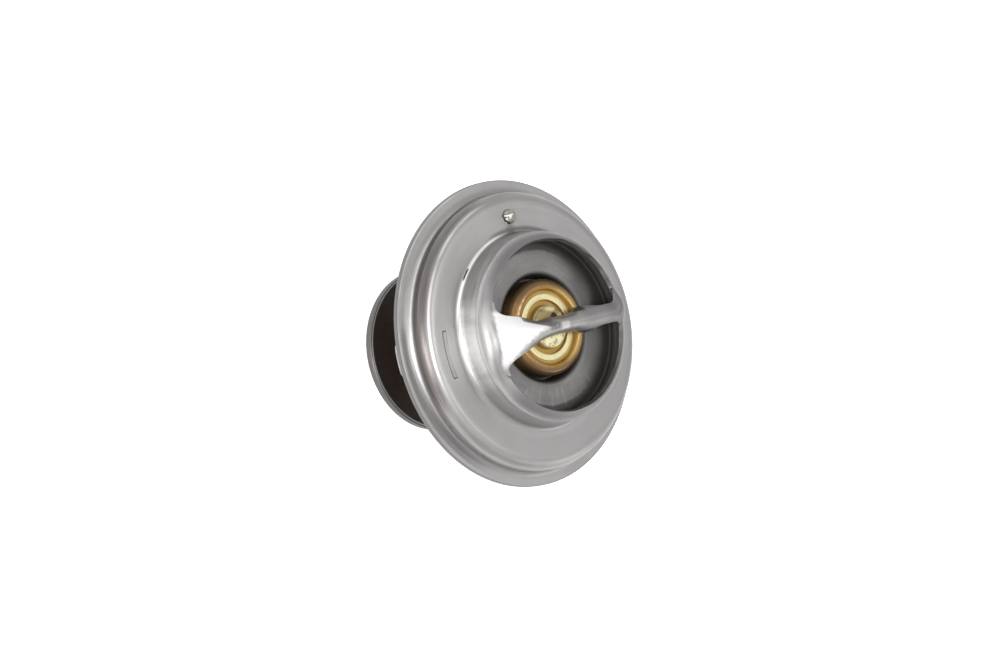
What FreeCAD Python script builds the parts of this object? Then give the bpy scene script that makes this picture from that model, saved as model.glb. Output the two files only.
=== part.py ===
# Engine thermostat, insert type: a pressed flange with a neck and a folded bridge strap,
# a wax element that pushes against the strap, and a spring loaded bypass plate below.
# The frame: +Z is the thermostat's axis with the strap on top, +X runs along the strap,
# and the origin is the centre of the flange rim's underside. Lengths are millimetres.

import FreeCAD
import Part
import Sketcher

import math
import os

from FreeCAD import Vector

DOC = FreeCAD.newDocument("Thermostat")

# Driving dimensions. Heights are measured from the rim's underside, and those below it are negative.
DIMENSIONS = [
    # the pressed flange frame
    ("sheet", 0.9),
    ("rim_radius", 33.5),
    ("rim_width", 3.1),
    ("face_width", 9.65),
    ("face_height", 6.5),
    ("foot_bend", 1.4),
    ("shoulder_bend", 2.6),
    ("root_bend", 1.2),
    ("neck_taper", 6.0),
    ("crease_height", 11.6),
    ("dome_height", 14.66),
    ("dome_bend", 3.05),
    ("opening_inset", 2.08),
    ("vent_inset", 5.5),
    ("vent_angle", 90.9),
    ("vent_hole_radius", 1.5),
    # the bridge strap between the two windows
    ("strap_rise", 1.25),
    ("strap_thinning", 0.1),
    ("strap_half_width", 1.9),
    ("strap_fold_depth", 2.1),
    ("strap_drift", 0.5),
    ("strap_root_depth", 1.4),
    ("near_root_half_width", 8.2),
    ("far_root_half_width", 5.2),
    # the lower bracket
    ("strip", 1.0),
    ("leg_inset", 4.75),
    ("leg_width", 10.8),
    ("tongue_width", 10.0),
    ("slot_gap", 0.1),
    ("slot_turn", 3.0),
    ("web_height", -11.0),
    ("web_radius", 15.2),
    ("leg_bend", 2.1),
    ("collar_length", 2.6),
    ("guide_gap", 0.08),
    ("collar_bend", 1.2),
    # the valve plate
    ("plate_sheet", 0.9),
    ("plate_height", 9.7),
    ("seat_gap", 0.15),
    ("pocket_radius", 11.2),
    ("pocket_height", 6.2),
    ("pocket_bend", 1.3),
    ("plate_edge_bend", 0.3),
    # the wax element
    ("cup_radius", 8.5),
    ("cup_bottom", -16.0),
    ("cup_bend", 1.0),
    ("cup_wall", 1.1),
    ("cup_floor", 2.0),
    ("head_radius", 10.5),
    ("lip_height", 11.7),
    ("lip_radius", 8.0),
    ("lip_bend", 1.5),
    ("lip_edge_bend", 0.6),
    ("ledge_height", 7.5),
    ("fit_gap", 0.05),
    ("ring_outer_radius", 7.35),
    ("ring_inner_radius", 5.85),
    ("ring_height", 10.9),
    ("ring_edge_bend", 0.25),
    ("boss_groove", 0.7),
    ("boss_radius", 4.7),
    ("boss_height", 12.1),
    ("boss_bend", 0.7),
    ("sleeve_radius", 3.4),
    ("sleeve_end", 2.2),
    ("sleeve_flange_radius", 5.5),
    ("sleeve_flange", 1.0),
    ("washer_sheet", 0.5),
    # the piston pin
    ("pin_radius", 1.75),
    ("pin_gap", 0.05),
    ("pin_foot_height", -8.0),
    ("pin_tip_share", 0.58),
    ("pin_taper_length", 1.2),
    ("pin_tip_gap", 0.06),
    # the springs
    ("main_wire", 2.2),
    ("main_coil_radius", 13.95),
    ("main_turns", 4.25),
    ("bypass_wire", 1.2),
    ("bypass_top_radius", 5.4),
    ("bypass_low_radius", 7.7),
    ("bypass_turns", 4.0),
    # the bypass plate on its stem
    ("bypass_radius", 18.0),
    ("bypass_height", -27.0),
    ("bypass_skirt", 2.0),
    ("bypass_sheet", 0.9),
    ("bypass_bend", 0.7),
    ("bypass_rise", 1.5),
    ("bypass_boss_radius", 6.4),
    ("stem_radius", 2.5),
    ("stem_gap", 0.08),
    ("stem_collar_radius", 3.6),
    ("stem_collar_sheet", 1.0),
    ("spigot_radius", 1.5),
    ("spigot_length", 1.2),
    ("groove_radius", 1.9),
    ("stem_end", 0.7),
    ("stop_washer_radius", 4.6),
    ("stop_washer_sheet", 0.7),
    ("clip_radius", 3.9),
    ("clip_sheet", 0.8),
    ("clip_mouth", 3.0),
    # the jiggle pin
    ("jiggle_radius", 0.9),
    ("jiggle_head_width", 3.4),
    ("jiggle_head_depth", 2.3),
    ("jiggle_head_height", 1.0),
    ("jiggle_ball_radius", 2.0),
    ("jiggle_travel", 1.5),
    ("jiggle_gap", 0.1),
]

# Radii that follow from the rim inwards, so that the whole flange keeps to its rim.
FOLLOWING = [
    ("wall_radius", "=rim_radius - rim_width"),
    ("neck_radius", "=wall_radius - face_width"),
    ("opening_radius", "=neck_radius - opening_inset"),
    ("vent_radius", "=wall_radius - vent_inset"),
    ("leg_inner_radius", "=wall_radius - leg_inset - strip"),
]

SHEET = DOC.addObject("Spreadsheet::Sheet", "Dims")


def fill_sheet():
    """write each dimension or formula beside its name and give the cell that name"""
    for row, (name, content) in enumerate(DIMENSIONS + FOLLOWING, start=1):
        SHEET.set(f"A{row}", name)
        SHEET.set(f"B{row}", str(content))
        SHEET.setAlias(f"B{row}", name)
    DOC.recompute()


def size(name):
    """the number that a named cell holds"""
    return float(SHEET.get(name))


def bound(text):
    """an expression with each dimension's name tied to its cell of the sheet"""
    names = [name for name, _ in DIMENSIONS + FOLLOWING]
    out = []
    word = ""
    for letter in text + " ":
        if letter.isalnum() or letter == "_":
            word += letter
            continue
        out.append(f"Dims.{word}" if word in names else word)
        out.append(letter)
        word = ""
    return "".join(out).strip()


# Lines that several pieces share, as expressions of the driving dimensions.
LEAN = "tan(neck_taper * 1 deg)"
SHEET_ACROSS = "(sheet / cos(neck_taper * 1 deg))"


def neck_outside(height):
    """radius of the neck's tapered outer surface at a height"""
    return f"(neck_radius + (crease_height - ({height})) * {LEAN})"


def neck_inside(height):
    """radius of the neck's tapered inner surface at a height"""
    return f"({neck_outside(height)} - {SHEET_ACROSS})"


PLATE_RADIUS = f"({neck_inside('plate_height')} - seat_gap)"
HEAD_BORE = "(head_radius - cup_wall)"
CAVITY_RADIUS = "(cup_radius - cup_wall)"
LIP_UNDERSIDE = "(lip_height - cup_wall)"
WASHER_HEIGHT = "(ledge_height + sleeve_flange)"
BORE_FOOT = "(ledge_height + sleeve_flange + washer_sheet)"
GUIDE_BORE = "(cup_radius + guide_gap)"
STRAP_UNDERSIDE = "(dome_height + strap_rise - sheet + strap_thinning / 2)"
PIN_BORE = "(pin_radius + pin_gap)"
PIN_TIP_RADIUS = "((strap_half_width - sheet) * pin_tip_share)"
BOSS_UNDERSIDE = "(bypass_height + bypass_rise - bypass_sheet)"
GROOVE_TOP = f"({BOSS_UNDERSIDE} - stop_washer_sheet)"
GROOVE_LOW = f"({GROOVE_TOP} - clip_sheet)"
COLLAR_UNDERSIDE = "(cup_bottom - stem_collar_sheet)"
BALL_HEIGHT = (
    "(face_height - sheet - sqrt(jiggle_ball_radius ^ 2 - vent_hole_radius ^ 2)"
    " - jiggle_travel - jiggle_gap)"
)


def bend_at(before, corner, after, radius):
    """tangent points, centre and turn of the arc that rounds a corner of an outline"""
    inward = (before - corner).normalize()
    outward = (after - corner).normalize()
    half = inward.getAngle(outward) / 2
    reach = radius / math.tan(half)
    middle = (inward + outward).normalize()
    centre = corner + middle * (radius / math.sin(half))
    turns_left = (corner - before).cross(after - corner).z > 0
    return corner + inward * reach, corner + outward * reach, centre, turns_left


def add_arc(sketch, start, end, centre, radius, turns_left):
    """arc between two points, and which of its ends meets the start"""
    first, last = (start, end) if turns_left else (end, start)
    angles = [math.atan2(p.y - centre.y, p.x - centre.x) for p in (first, last)]
    circle = Part.Circle(centre, Vector(0, 0, 1), radius)
    arc = sketch.addGeometry(Part.ArcOfCircle(circle, angles[0], angles[1]), False)
    return (arc, 1, 2) if turns_left else (arc, 2, 1)


def fix_point(sketch, geometry, place, x, y):
    """tie a point of the sketch to two expressions"""
    for kind, text in (("DistanceX", x), ("DistanceY", y)):
        start = sketch.evalExpression(bound(text))
        index = sketch.addConstraint(
            Sketcher.Constraint(kind, -1, 1, geometry, place, float(start))
        )
        sketch.setExpression(f"Constraints[{index}]", bound(text))


def outline(sketch, corners):
    """closed outline through corners of expressions (x, y) or (x, y, bend radius)"""
    points = []
    for corner in corners:
        x, y = (float(sketch.evalExpression(bound(text))) for text in corner[:2])
        points.append(Vector(x, y, 0))
    bends = []
    for index, corner in enumerate(corners):
        if len(corner) == 2:
            bends.append(None)
            continue
        radius = float(sketch.evalExpression(bound(corner[2])))
        before = points[index - 1]
        after = points[(index + 1) % len(points)]
        bends.append((radius,) + bend_at(before, points[index], after, radius))
    lines = []
    for index in range(len(points)):
        following = (index + 1) % len(points)
        start = bends[index][2] if bends[index] else points[index]
        end = bends[following][1] if bends[following] else points[following]
        lines.append(sketch.addGeometry(Part.LineSegment(start, end), False))
    for index, corner in enumerate(corners):
        arriving = lines[index - 1]
        leaving = lines[index]
        if bends[index] is None:
            sketch.addConstraint(Sketcher.Constraint("Coincident", arriving, 2, leaving, 1))
            fix_point(sketch, leaving, 1, corner[0], corner[1])
            continue
        radius, start, end, centre, turns_left = bends[index]
        arc, near, far = add_arc(sketch, start, end, centre, radius, turns_left)
        sketch.addConstraint(Sketcher.Constraint("Tangent", arriving, 2, arc, near))
        sketch.addConstraint(Sketcher.Constraint("Tangent", arc, far, leaving, 1))
        turn = sketch.addConstraint(Sketcher.Constraint("Radius", arc, radius))
        sketch.setExpression(f"Constraints[{turn}]", bound(corner[2]))
        apex = sketch.addGeometry(Part.Point(points[index]), True)
        sketch.addConstraint(Sketcher.Constraint("PointOnObject", apex, 1, arriving))
        sketch.addConstraint(Sketcher.Constraint("PointOnObject", apex, 1, leaving))
        fix_point(sketch, apex, 1, corner[0], corner[1])


def ring_of(sketch, x, y, radius):
    """circle with its centre and radius tied to expressions"""
    centre = [float(sketch.evalExpression(bound(text))) for text in (x, y)]
    value = float(sketch.evalExpression(bound(radius)))
    circle = Part.Circle(Vector(centre[0], centre[1], 0), Vector(0, 0, 1), value)
    index = sketch.addGeometry(circle, False)
    if x == "0" and y == "0":
        sketch.addConstraint(Sketcher.Constraint("Coincident", index, 3, -1, 1))
    else:
        fix_point(sketch, index, 3, x, y)
    turn = sketch.addConstraint(Sketcher.Constraint("Radius", index, value))
    sketch.setExpression(f"Constraints[{turn}]", bound(radius))


def new_body(name):
    """empty body that becomes a sub-part"""
    body = DOC.addObject("PartDesign::Body", name)
    body.Label = name
    return body


def sketch_on(body, role, name):
    """sketch on one of the body's own origin planes"""
    sketch = body.newObject("Sketcher::SketchObject", name)
    plane = [item for item in body.Origin.OriginFeatures if item.Role == role][0]
    sketch.AttachmentSupport = (plane, [""])
    sketch.MapMode = "FlatFace"
    DOC.recompute()
    return sketch


def revolve(body, name, corners):
    """full turn of a profile of radii and heights about the axis"""
    sketch = sketch_on(body, "XZ_Plane", f"{name}Profile")
    outline(sketch, corners)
    feature = body.newObject("PartDesign::Revolution", name)
    feature.Profile = sketch
    feature.ReferenceAxis = (sketch, ["V_Axis"])
    feature.Angle = 360
    sketch.Visibility = False
    DOC.recompute()
    return feature


def pierce(body, name, draw, low, high):
    """pocket of a plan drawing between two heights"""
    before = body.Shape.Volume
    sketch = sketch_on(body, "XY_Plane", f"{name}Plan")
    sketch.AttachmentOffset = FreeCAD.Placement(Vector(0, 0, 0), FreeCAD.Rotation())
    sketch.setExpression("AttachmentOffset.Base.z", bound(low))
    draw(sketch)
    pocket = body.newObject("PartDesign::Pocket", name)
    pocket.Profile = sketch
    pocket.Type = 0
    pocket.Reversed = True
    pocket.setExpression("Length", bound(f"({high}) - ({low})"))
    sketch.Visibility = False
    DOC.recompute()
    if body.Shape.Volume >= before:
        raise RuntimeError(f"{name} cut nothing")
    return pocket


def slot_plan(sketch, side):
    """arc slot about the axis for one bracket tongue, on the side of +X or -X"""
    turn = sketch.evalExpression(bound("slot_turn"))
    inner = size("leg_inner_radius") - size("slot_gap") / 2
    outer = size("leg_inner_radius") + size("strip") + size("slot_gap")
    half = size("tongue_width") / 2 + size("slot_gap")
    middle = math.radians(turn + (0 if side > 0 else 180))
    arcs = []
    for radius, text in (
        (inner, "leg_inner_radius - slot_gap / 2"),
        (outer, "leg_inner_radius + strip + slot_gap"),
    ):
        reach = math.asin(half / radius)
        circle = Part.Circle(Vector(0, 0, 0), Vector(0, 0, 1), radius)
        arc = sketch.addGeometry(Part.ArcOfCircle(circle, middle - reach, middle + reach), False)
        sketch.addConstraint(Sketcher.Constraint("Coincident", arc, 3, -1, 1))
        index = sketch.addConstraint(Sketcher.Constraint("Radius", arc, radius))
        sketch.setExpression(f"Constraints[{index}]", bound(text))
        arcs.append(arc)
    inner_ends = [sketch.getPoint(arcs[0], end) for end in (1, 2)]
    outer_ends = [sketch.getPoint(arcs[1], end) for end in (1, 2)]
    for place in (0, 1):
        line = sketch.addGeometry(Part.LineSegment(inner_ends[place], outer_ends[place]), False)
        sketch.addConstraint(Sketcher.Constraint("Coincident", line, 1, arcs[0], place + 1))
        sketch.addConstraint(Sketcher.Constraint("Coincident", line, 2, arcs[1], place + 1))


def pressed_ring():
    """rim, wall, face, neck and dome of the flange frame, with its holes"""
    body = new_body("pressed_ring")
    dome_corner = neck_outside("dome_height")
    inner_dome = neck_inside("dome_height - sheet")
    inner_root = neck_inside("face_height - sheet")
    revolve(
        body,
        "Pressing",
        [
            ("rim_radius", "0"),
            ("rim_radius", "sheet"),
            ("wall_radius", "sheet", "foot_bend"),
            ("wall_radius", "face_height", "shoulder_bend"),
            (neck_outside("face_height"), "face_height", "root_bend"),
            (dome_corner, "dome_height", "dome_bend"),
            ("opening_radius - 2 * sheet", "dome_height"),
            ("opening_radius - 2 * sheet", "dome_height - sheet"),
            (inner_dome, "dome_height - sheet", "dome_bend - sheet"),
            (inner_root, "face_height - sheet", "root_bend + sheet"),
            ("wall_radius - sheet", "face_height - sheet", "shoulder_bend - sheet"),
            ("wall_radius - sheet", "0", "foot_bend + sheet"),
        ],
    )
    pierce(
        body,
        "Opening",
        lambda sketch: ring_of(sketch, "0", "0", "opening_radius"),
        "crease_height",
        "dome_height + sheet",
    )
    for name, side in (("FarSlot", 1), ("NearSlot", -1)):
        pierce(
            body,
            name,
            lambda sketch, side=side: slot_plan(sketch, side),
            "face_height - 2 * sheet",
            "face_height + sheet",
        )
    pierce(
        body,
        "VentHole",
        lambda sketch: ring_of(
            sketch,
            "vent_radius * cos(vent_angle * 1 deg)",
            "vent_radius * sin(vent_angle * 1 deg)",
            "vent_hole_radius",
        ),
        "face_height - 2 * sheet",
        "face_height + sheet",
    )
    return body


# The strap's stations from the middle outwards. Each one gives its place, then how far its
# half width has spread towards the root, how much of the strap's rise its edges have lost,
# how far they are folded down, and how far the strap has drifted towards -Y, all as shares.
# A place up to 1 is a share of the half span on top, and past 1 it goes round the shoulder's
# bend, with 2 where the bend meets the neck.
NEAR_STATIONS = [
    (0.0, 0.0, 0.0, 1.0, 0.0),
    (0.18, 0.01, 0.0, 1.0, 0.5),
    (0.285, 0.05, 0.5, 0.95, 0.8),
    (0.375, 0.13, 0.5, 0.8, 0.8),
    (0.485, 0.24, 0.5, 0.55, 0.7),
    (0.60, 0.33, 0.6, 0.3, 0.7),
    (0.71, 0.41, 0.65, 0.15, 0.8),
    (0.82, 0.51, 0.8, 0.05, 0.9),
    (0.91, 0.635, 0.92, 0.0, 1.0),
    (1.0, 0.78, 1.0, 0.0, 1.0),
    (1.2, 0.9, 1.0, 0.0, 1.0),
    (1.45, 0.98, 1.0, 0.0, 1.0),
    (1.7, 1.0, 1.0, 0.0, 1.0),
    (2.0, 1.0, 1.0, 0.0, 1.0),
]
FAR_STATIONS = [
    (0.0, 0.0, 0.0, 1.0, 0.0),
    (0.18, 0.01, 0.0, 1.0, 0.0),
    (0.285, 0.07, 0.5, 0.95, 0.0),
    (0.375, 0.19, 0.4, 0.75, -0.1),
    (0.46, 0.31, 0.3, 0.45, -0.1),
    (0.54, 0.31, 0.4, 0.25, -0.1),
    (0.635, 0.2, 0.35, 0.1, -0.1),
    (0.77, 0.15, 0.3, 0.05, -0.1),
    (0.875, 0.15, 0.35, 0.0, 0.0),
    (0.95, 0.25, 0.5, 0.0, 0.0),
    (1.0, 0.45, 0.75, 0.0, 0.0),
    (1.2, 0.78, 1.0, 0.0, 0.0),
    (1.45, 0.95, 1.0, 0.0, 0.0),
    (1.7, 1.0, 1.0, 0.0, 0.0),
    (2.0, 1.0, 1.0, 0.0, 0.0),
]
TOP_ROWS = 22
BEND_ROWS = 10
BOW_START = 0.8
FLAT_ROLL = 30
ACROSS = [index / 6 - 1 for index in range(13)]


def neck_line(height):
    """radius of the neck's outer surface at a height, as a number"""
    lean = math.tan(math.radians(size("neck_taper")))
    return size("neck_radius") + (size("crease_height") - height) * lean


def station_at(stations, place):
    """shares of spread, crown, fold and drift at a place between two stations"""
    for before, after in zip(stations, stations[1:]):
        if place <= after[0]:
            share = (place - before[0]) / (after[0] - before[0])
            return [low + share * (high - low) for low, high in zip(before[1:], after[1:])]
    return stations[-1][1:]


def strap_section(shares, root, across):
    """lateral place and fall below the ridge of one point across the strap"""
    spread, crown, fold, drift = shares
    middle = size("strap_half_width") - size("sheet") / 2
    half = middle + spread * (root - middle)
    drop = crown * size("strap_rise") * (1 - fold) + fold * size("strap_fold_depth")
    roll = math.radians(FLAT_ROLL + (90 - FLAT_ROLL) * fold)
    lateral = half * math.sin(roll * across) / math.sin(roll) - drift * size("strap_drift")
    return lateral, drop * (1 - math.cos(roll * across)) / (1 - math.cos(roll))


def bend_centre(rise):
    """centre of the shoulder's bend where the dome is raised by a height"""
    taper = math.radians(size("neck_taper"))
    height = size("dome_height") + rise - size("dome_bend")
    return neck_line(height) - size("dome_bend") / math.cos(taper), height


def on_circle(radius, lateral):
    """distance along the strap of a point on a circle about the axis"""
    return math.sqrt(radius ** 2 - lateral ** 2)


def top_point(side, place, lateral, fall):
    """point of the sheet's middle on the strap's top"""
    span = bend_centre(size("strap_rise"))[0]
    bow = max(0.0, (place - BOW_START) / (1 - BOW_START))
    along = place * span - bow * (span - on_circle(span, lateral))
    height = size("dome_height") + size("strap_rise") - size("sheet") / 2
    return Vector(side * along, lateral, height - fall)


def bend_point(side, place, lateral, fall):
    """point of the sheet's middle on the shoulder, where place runs from 1 to 2"""
    turn = math.radians(90 + (size("neck_taper") - 90) * (place - 1))
    radius = size("dome_bend") - size("sheet") / 2
    centre, height = bend_centre(size("strap_rise") - fall)
    reach = centre + radius * math.cos(turn)
    return Vector(side * on_circle(reach, lateral), lateral, height + radius * math.sin(turn))


def half_strap(side, stations, root):
    """rows of points on the middle of the sheet, from the ridge's centre to the neck"""
    places = [index / TOP_ROWS for index in range(1, TOP_ROWS)]
    places += [1 + index / BEND_ROWS for index in range(BEND_ROWS + 1)]
    rows = []
    for place in places:
        shares = station_at(stations, place)
        draw = top_point if place < 1 else bend_point
        sections = [strap_section(shares, root, across) for across in ACROSS]
        rows.append([draw(side, place, lateral, fall) for lateral, fall in sections])
    foot = size("crease_height") - size("strap_root_depth")
    reach = neck_line(foot) - size("sheet") / 2
    sides = [point.y for point in rows[-1]]
    rows.append([Vector(side * on_circle(reach, lateral), lateral, foot) for lateral in sides])
    return rows


def sheet_normals(rows):
    """unit normals of a grid of points, upwards at the strap's ridge"""
    normals = []
    for index, row in enumerate(rows):
        before = rows[max(index - 1, 0)]
        after = rows[min(index + 1, len(rows) - 1)]
        line = []
        for place in range(len(row)):
            along = after[place] - before[place]
            left = row[max(place - 1, 0)]
            right = row[min(place + 1, len(row) - 1)]
            line.append(along.cross(right - left).normalize())
        normals.append(line)
    return normals


def knots_for(count):
    """knots and multiplicities of a clamped even cubic with that many poles"""
    spans = count - 3
    return list(range(spans + 1)), [4] + [1] * (spans - 1) + [4]


def skin(rows):
    """smooth cubic surface drawn by a grid of poles"""
    along, along_times = knots_for(len(rows))
    across, across_times = knots_for(len(rows[0]))
    surface = Part.BSplineSurface()
    surface.buildFromPolesMultsKnots(
        rows, along_times, across_times, along, across, False, False, 3, 3
    )
    return surface


def sheet_solid(rows, thickness):
    """solid of a sheet whose middle passes through a grid of points"""
    normals = sheet_normals(rows)
    surfaces = []
    for offset in (thickness / 2, -thickness / 2):
        moved = [
            [point + normal * offset for point, normal in zip(row, line)]
            for row, line in zip(rows, normals)
        ]
        surfaces.append(skin(moved))
    faces = [surface.toShape() for surface in surfaces]
    low_u, high_u, low_v, high_v = surfaces[0].bounds()
    for place in (low_u, high_u):
        edges = [surface.uIso(place).toShape() for surface in surfaces]
        faces.append(Part.makeRuledSurface(*edges))
    for place in (low_v, high_v):
        edges = [surface.vIso(place).toShape() for surface in surfaces]
        faces.append(Part.makeRuledSurface(*edges))
    shell = Part.makeShell(faces)
    shell.sewShape()
    solid = Part.makeSolid(shell)
    if solid.Volume < 0:
        solid.reverse()
    return solid


def bridge_strap():
    """the folded strap from one side of the neck to the other"""
    near = half_strap(-1, NEAR_STATIONS, size("near_root_half_width"))
    far = half_strap(1, FAR_STATIONS, size("far_root_half_width"))
    sections = [strap_section(NEAR_STATIONS[0][1:], 0, across) for across in ACROSS]
    middle = [top_point(1, 0, lateral, fall) for lateral, fall in sections]
    rows = list(reversed(near)) + [middle] + far
    strap = DOC.addObject("Part::Feature", "bridge_strap")
    strap.Shape = sheet_solid(rows, size("sheet") - size("strap_thinning"))
    return strap


def joined(kind, name, shapes):
    """boolean of several shapes as one object of the document"""
    result = DOC.addObject(kind, name)
    result.Label = name
    if kind in ("Part::MultiFuse", "Part::MultiCommon"):
        result.Shapes = shapes
    else:
        result.Base, result.Tool = shapes
    DOC.recompute()
    return result


def primitive(kind, name, height, **sizes):
    """Part primitive whose sizes and height are tied to the sheet"""
    shape = DOC.addObject(kind, name)
    for prop, text in sizes.items():
        shape.setExpression(prop, bound(text))
    shape.setExpression("Placement.Base.z", bound(height))
    return shape


def centred_box(name, length, width, low, high):
    """box centred on the axis between two heights"""
    box = primitive(
        "Part::Box", name, low, Length=length, Width=width, Height=f"({high}) - ({low})"
    )
    box.setExpression("Placement.Base.x", bound(f"-({length}) / 2"))
    box.setExpression("Placement.Base.y", bound(f"-({width}) / 2"))
    return box


def flange_frame():
    """the whole pressing: ring and strap in one solid"""
    return joined("Part::MultiFuse", "flange_frame", [pressed_ring(), bridge_strap()])


def lower_bracket():
    """strip with two legs, a web with a guide collar, and a tongue on each leg"""
    body = new_body("bracket_form")
    leg_outside = "(leg_inner_radius + strip)"
    web_underside = "(web_height - strip)"
    collar_foot = f"({web_underside} - collar_length)"
    revolve(
        body,
        "BracketForm",
        [
            ("leg_inner_radius", "face_height"),
            ("leg_inner_radius", "web_height", "leg_bend - strip"),
            (GUIDE_BORE, "web_height", "collar_bend"),
            (GUIDE_BORE, collar_foot),
            (f"{GUIDE_BORE} + strip", collar_foot),
            (f"{GUIDE_BORE} + strip", web_underside, "strip / 2"),
            (leg_outside, web_underside, "leg_bend"),
            (leg_outside, "face_height"),
        ],
    )
    wide = f"2 * {leg_outside} + strip"
    under_face = "face_height - sheet"
    strip_box = centred_box(
        "bracket_strip", wide, "leg_width", f"{collar_foot} - strip", under_face
    )
    tongue_box = centred_box("bracket_tongues", wide, "tongue_width", "web_height", "face_height")
    web_disc = primitive(
        "Part::Cylinder",
        "bracket_web",
        f"{collar_foot} - strip",
        Radius="web_radius",
        Height="collar_length + 4 * strip",
    )
    kept = joined("Part::MultiFuse", "bracket_outline", [strip_box, tongue_box, web_disc])
    bracket = joined("Part::MultiCommon", "lower_bracket", [body, kept])
    bracket.Placement.Rotation.Axis = Vector(0, 0, 1)
    bracket.setExpression("Placement.Rotation.Angle", bound("slot_turn * 1 deg"))
    return bracket


def valve_plate():
    """pressed valve plate with a pocket that the element's head sits in"""
    body = new_body("valve_plate")
    hole = "(cup_radius + fit_gap)"
    underside = "(plate_height - plate_sheet)"
    pocket_outside = "(pocket_radius + plate_sheet)"
    pocket_foot = "(pocket_height - plate_sheet)"
    revolve(
        body,
        "Plate",
        [
            (hole, pocket_foot),
            (pocket_outside, pocket_foot, "plate_sheet"),
            (pocket_outside, underside, "pocket_bend - plate_sheet"),
            (PLATE_RADIUS, underside),
            (PLATE_RADIUS, "plate_height", "plate_edge_bend"),
            ("pocket_radius", "plate_height", "pocket_bend"),
            ("pocket_radius", "pocket_height", "plate_edge_bend"),
            (hole, "pocket_height"),
        ],
    )
    return body


def wax_cup():
    """brass cup with its head and the lip rolled over the cover"""
    body = new_body("wax_cup")
    floor = "(cup_bottom + cup_floor)"
    revolve(
        body,
        "Cup",
        [
            ("spigot_radius", "cup_bottom"),
            ("cup_radius", "cup_bottom", "cup_bend"),
            ("cup_radius", "pocket_height"),
            ("head_radius", "pocket_height", "lip_edge_bend"),
            ("head_radius", "lip_height", "lip_bend"),
            ("lip_radius", "lip_height", "lip_edge_bend"),
            ("lip_radius", LIP_UNDERSIDE),
            (HEAD_BORE, LIP_UNDERSIDE),
            (HEAD_BORE, "ledge_height"),
            (CAVITY_RADIUS, "ledge_height"),
            (CAVITY_RADIUS, floor, "cup_bend"),
            ("0", floor),
            ("0", "cup_bottom + spigot_length"),
            ("spigot_radius", "cup_bottom + spigot_length"),
        ],
    )
    return body


def guide_cover():
    """brass cover held by the lip, with a raised ring and the boss that guides the pin"""
    body = new_body("guide_cover")
    recess = "(sleeve_flange_radius + fit_gap)"
    groove = "(ring_height - boss_groove)"
    revolve(
        body,
        "Cover",
        [
            (PIN_BORE, BORE_FOOT),
            (recess, BORE_FOOT),
            (recess, "ledge_height"),
            (f"{HEAD_BORE} - fit_gap", "ledge_height"),
            (f"{HEAD_BORE} - fit_gap", LIP_UNDERSIDE),
            ("ring_outer_radius", LIP_UNDERSIDE),
            ("ring_outer_radius", "ring_height", "ring_edge_bend"),
            ("ring_inner_radius", "ring_height", "ring_edge_bend"),
            ("ring_inner_radius", groove),
            ("boss_radius", groove, "ring_edge_bend"),
            ("boss_radius", "boss_height", "boss_bend"),
            (PIN_BORE, "boss_height"),
        ],
    )
    return body


def rubber_sleeve():
    """rubber sleeve round the pin, its flange clamped under the cover"""
    body = new_body("rubber_sleeve")
    foot = "(pin_foot_height - pin_gap - sleeve_end)"
    inside = "(pin_foot_height - pin_gap)"
    revolve(
        body,
        "Sleeve",
        [
            ("0", foot),
            ("sleeve_radius", foot, "sleeve_radius / 2"),
            ("sleeve_radius", "ledge_height"),
            ("sleeve_flange_radius", "ledge_height"),
            ("sleeve_flange_radius", WASHER_HEIGHT),
            (PIN_BORE, WASHER_HEIGHT),
            (PIN_BORE, inside),
            ("0", inside),
        ],
    )
    return body


def wax_charge():
    """wax pellet that fills the cup round the sleeve"""
    body = new_body("wax_charge")
    bottom = "(cup_bottom + cup_floor + fit_gap)"
    sleeve_foot = "(pin_foot_height - pin_gap - sleeve_end - fit_gap)"
    outside = f"({CAVITY_RADIUS} - fit_gap)"
    inside = "(sleeve_radius + fit_gap)"
    revolve(
        body,
        "Wax",
        [
            ("0", bottom),
            (outside, bottom, "cup_bend"),
            (outside, "ledge_height - fit_gap"),
            (inside, "ledge_height - fit_gap"),
            (inside, sleeve_foot),
            ("0", sleeve_foot),
        ],
    )
    return body


def flat_ring(name, inner, outer, low, high):
    """plain washer between two radii and two heights"""
    body = new_body(name)
    revolve(body, f"{name}Ring", [(inner, low), (outer, low), (outer, high), (inner, high)])
    return body


def piston_pin():
    """steel pin, its tapered tip held in the fold of the strap"""
    body = new_body("piston_pin")
    tip = f"({STRAP_UNDERSIDE} - pin_tip_gap)"
    shoulder = "(dome_height + strap_rise - sheet / 2 - strap_fold_depth)"
    revolve(
        body,
        "Pin",
        [
            ("0", "pin_foot_height"),
            ("pin_radius", "pin_foot_height", "pin_radius / 4"),
            ("pin_radius", f"{shoulder} - pin_taper_length"),
            (PIN_TIP_RADIUS, shoulder),
            (PIN_TIP_RADIUS, tip, f"{PIN_TIP_RADIUS} * 0.9"),
            ("0", tip),
        ],
    )
    return body


def coil(name, wire, radius_low, radius_top, low, high, turns):
    """helical spring with its ends ground flat on the two seats"""
    body = new_body(f"{name}_wire")
    sketch = sketch_on(body, "XZ_Plane", f"{name}Section")
    ring_of(sketch, radius_low, low, f"({wire}) / 2")
    helix = body.newObject("PartDesign::AdditiveHelix", f"{name}Helix")
    helix.Profile = sketch
    helix.ReferenceAxis = (sketch, ["V_Axis"])
    helix.Mode = 2
    helix.setExpression("Height", bound(f"({high}) - ({low})"))
    helix.setExpression("Turns", bound(turns))
    helix.setExpression(
        "Angle", bound(f"atan((({radius_top}) - ({radius_low})) / (({high}) - ({low})))")
    )
    sketch.Visibility = False
    room = primitive(
        "Part::Cylinder",
        f"{name}_room",
        low,
        Radius=f"({radius_low}) + ({radius_top}) + 2 * ({wire})",
        Height=f"({high}) - ({low})",
    )
    return joined("Part::MultiCommon", name, [body, room])


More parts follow.
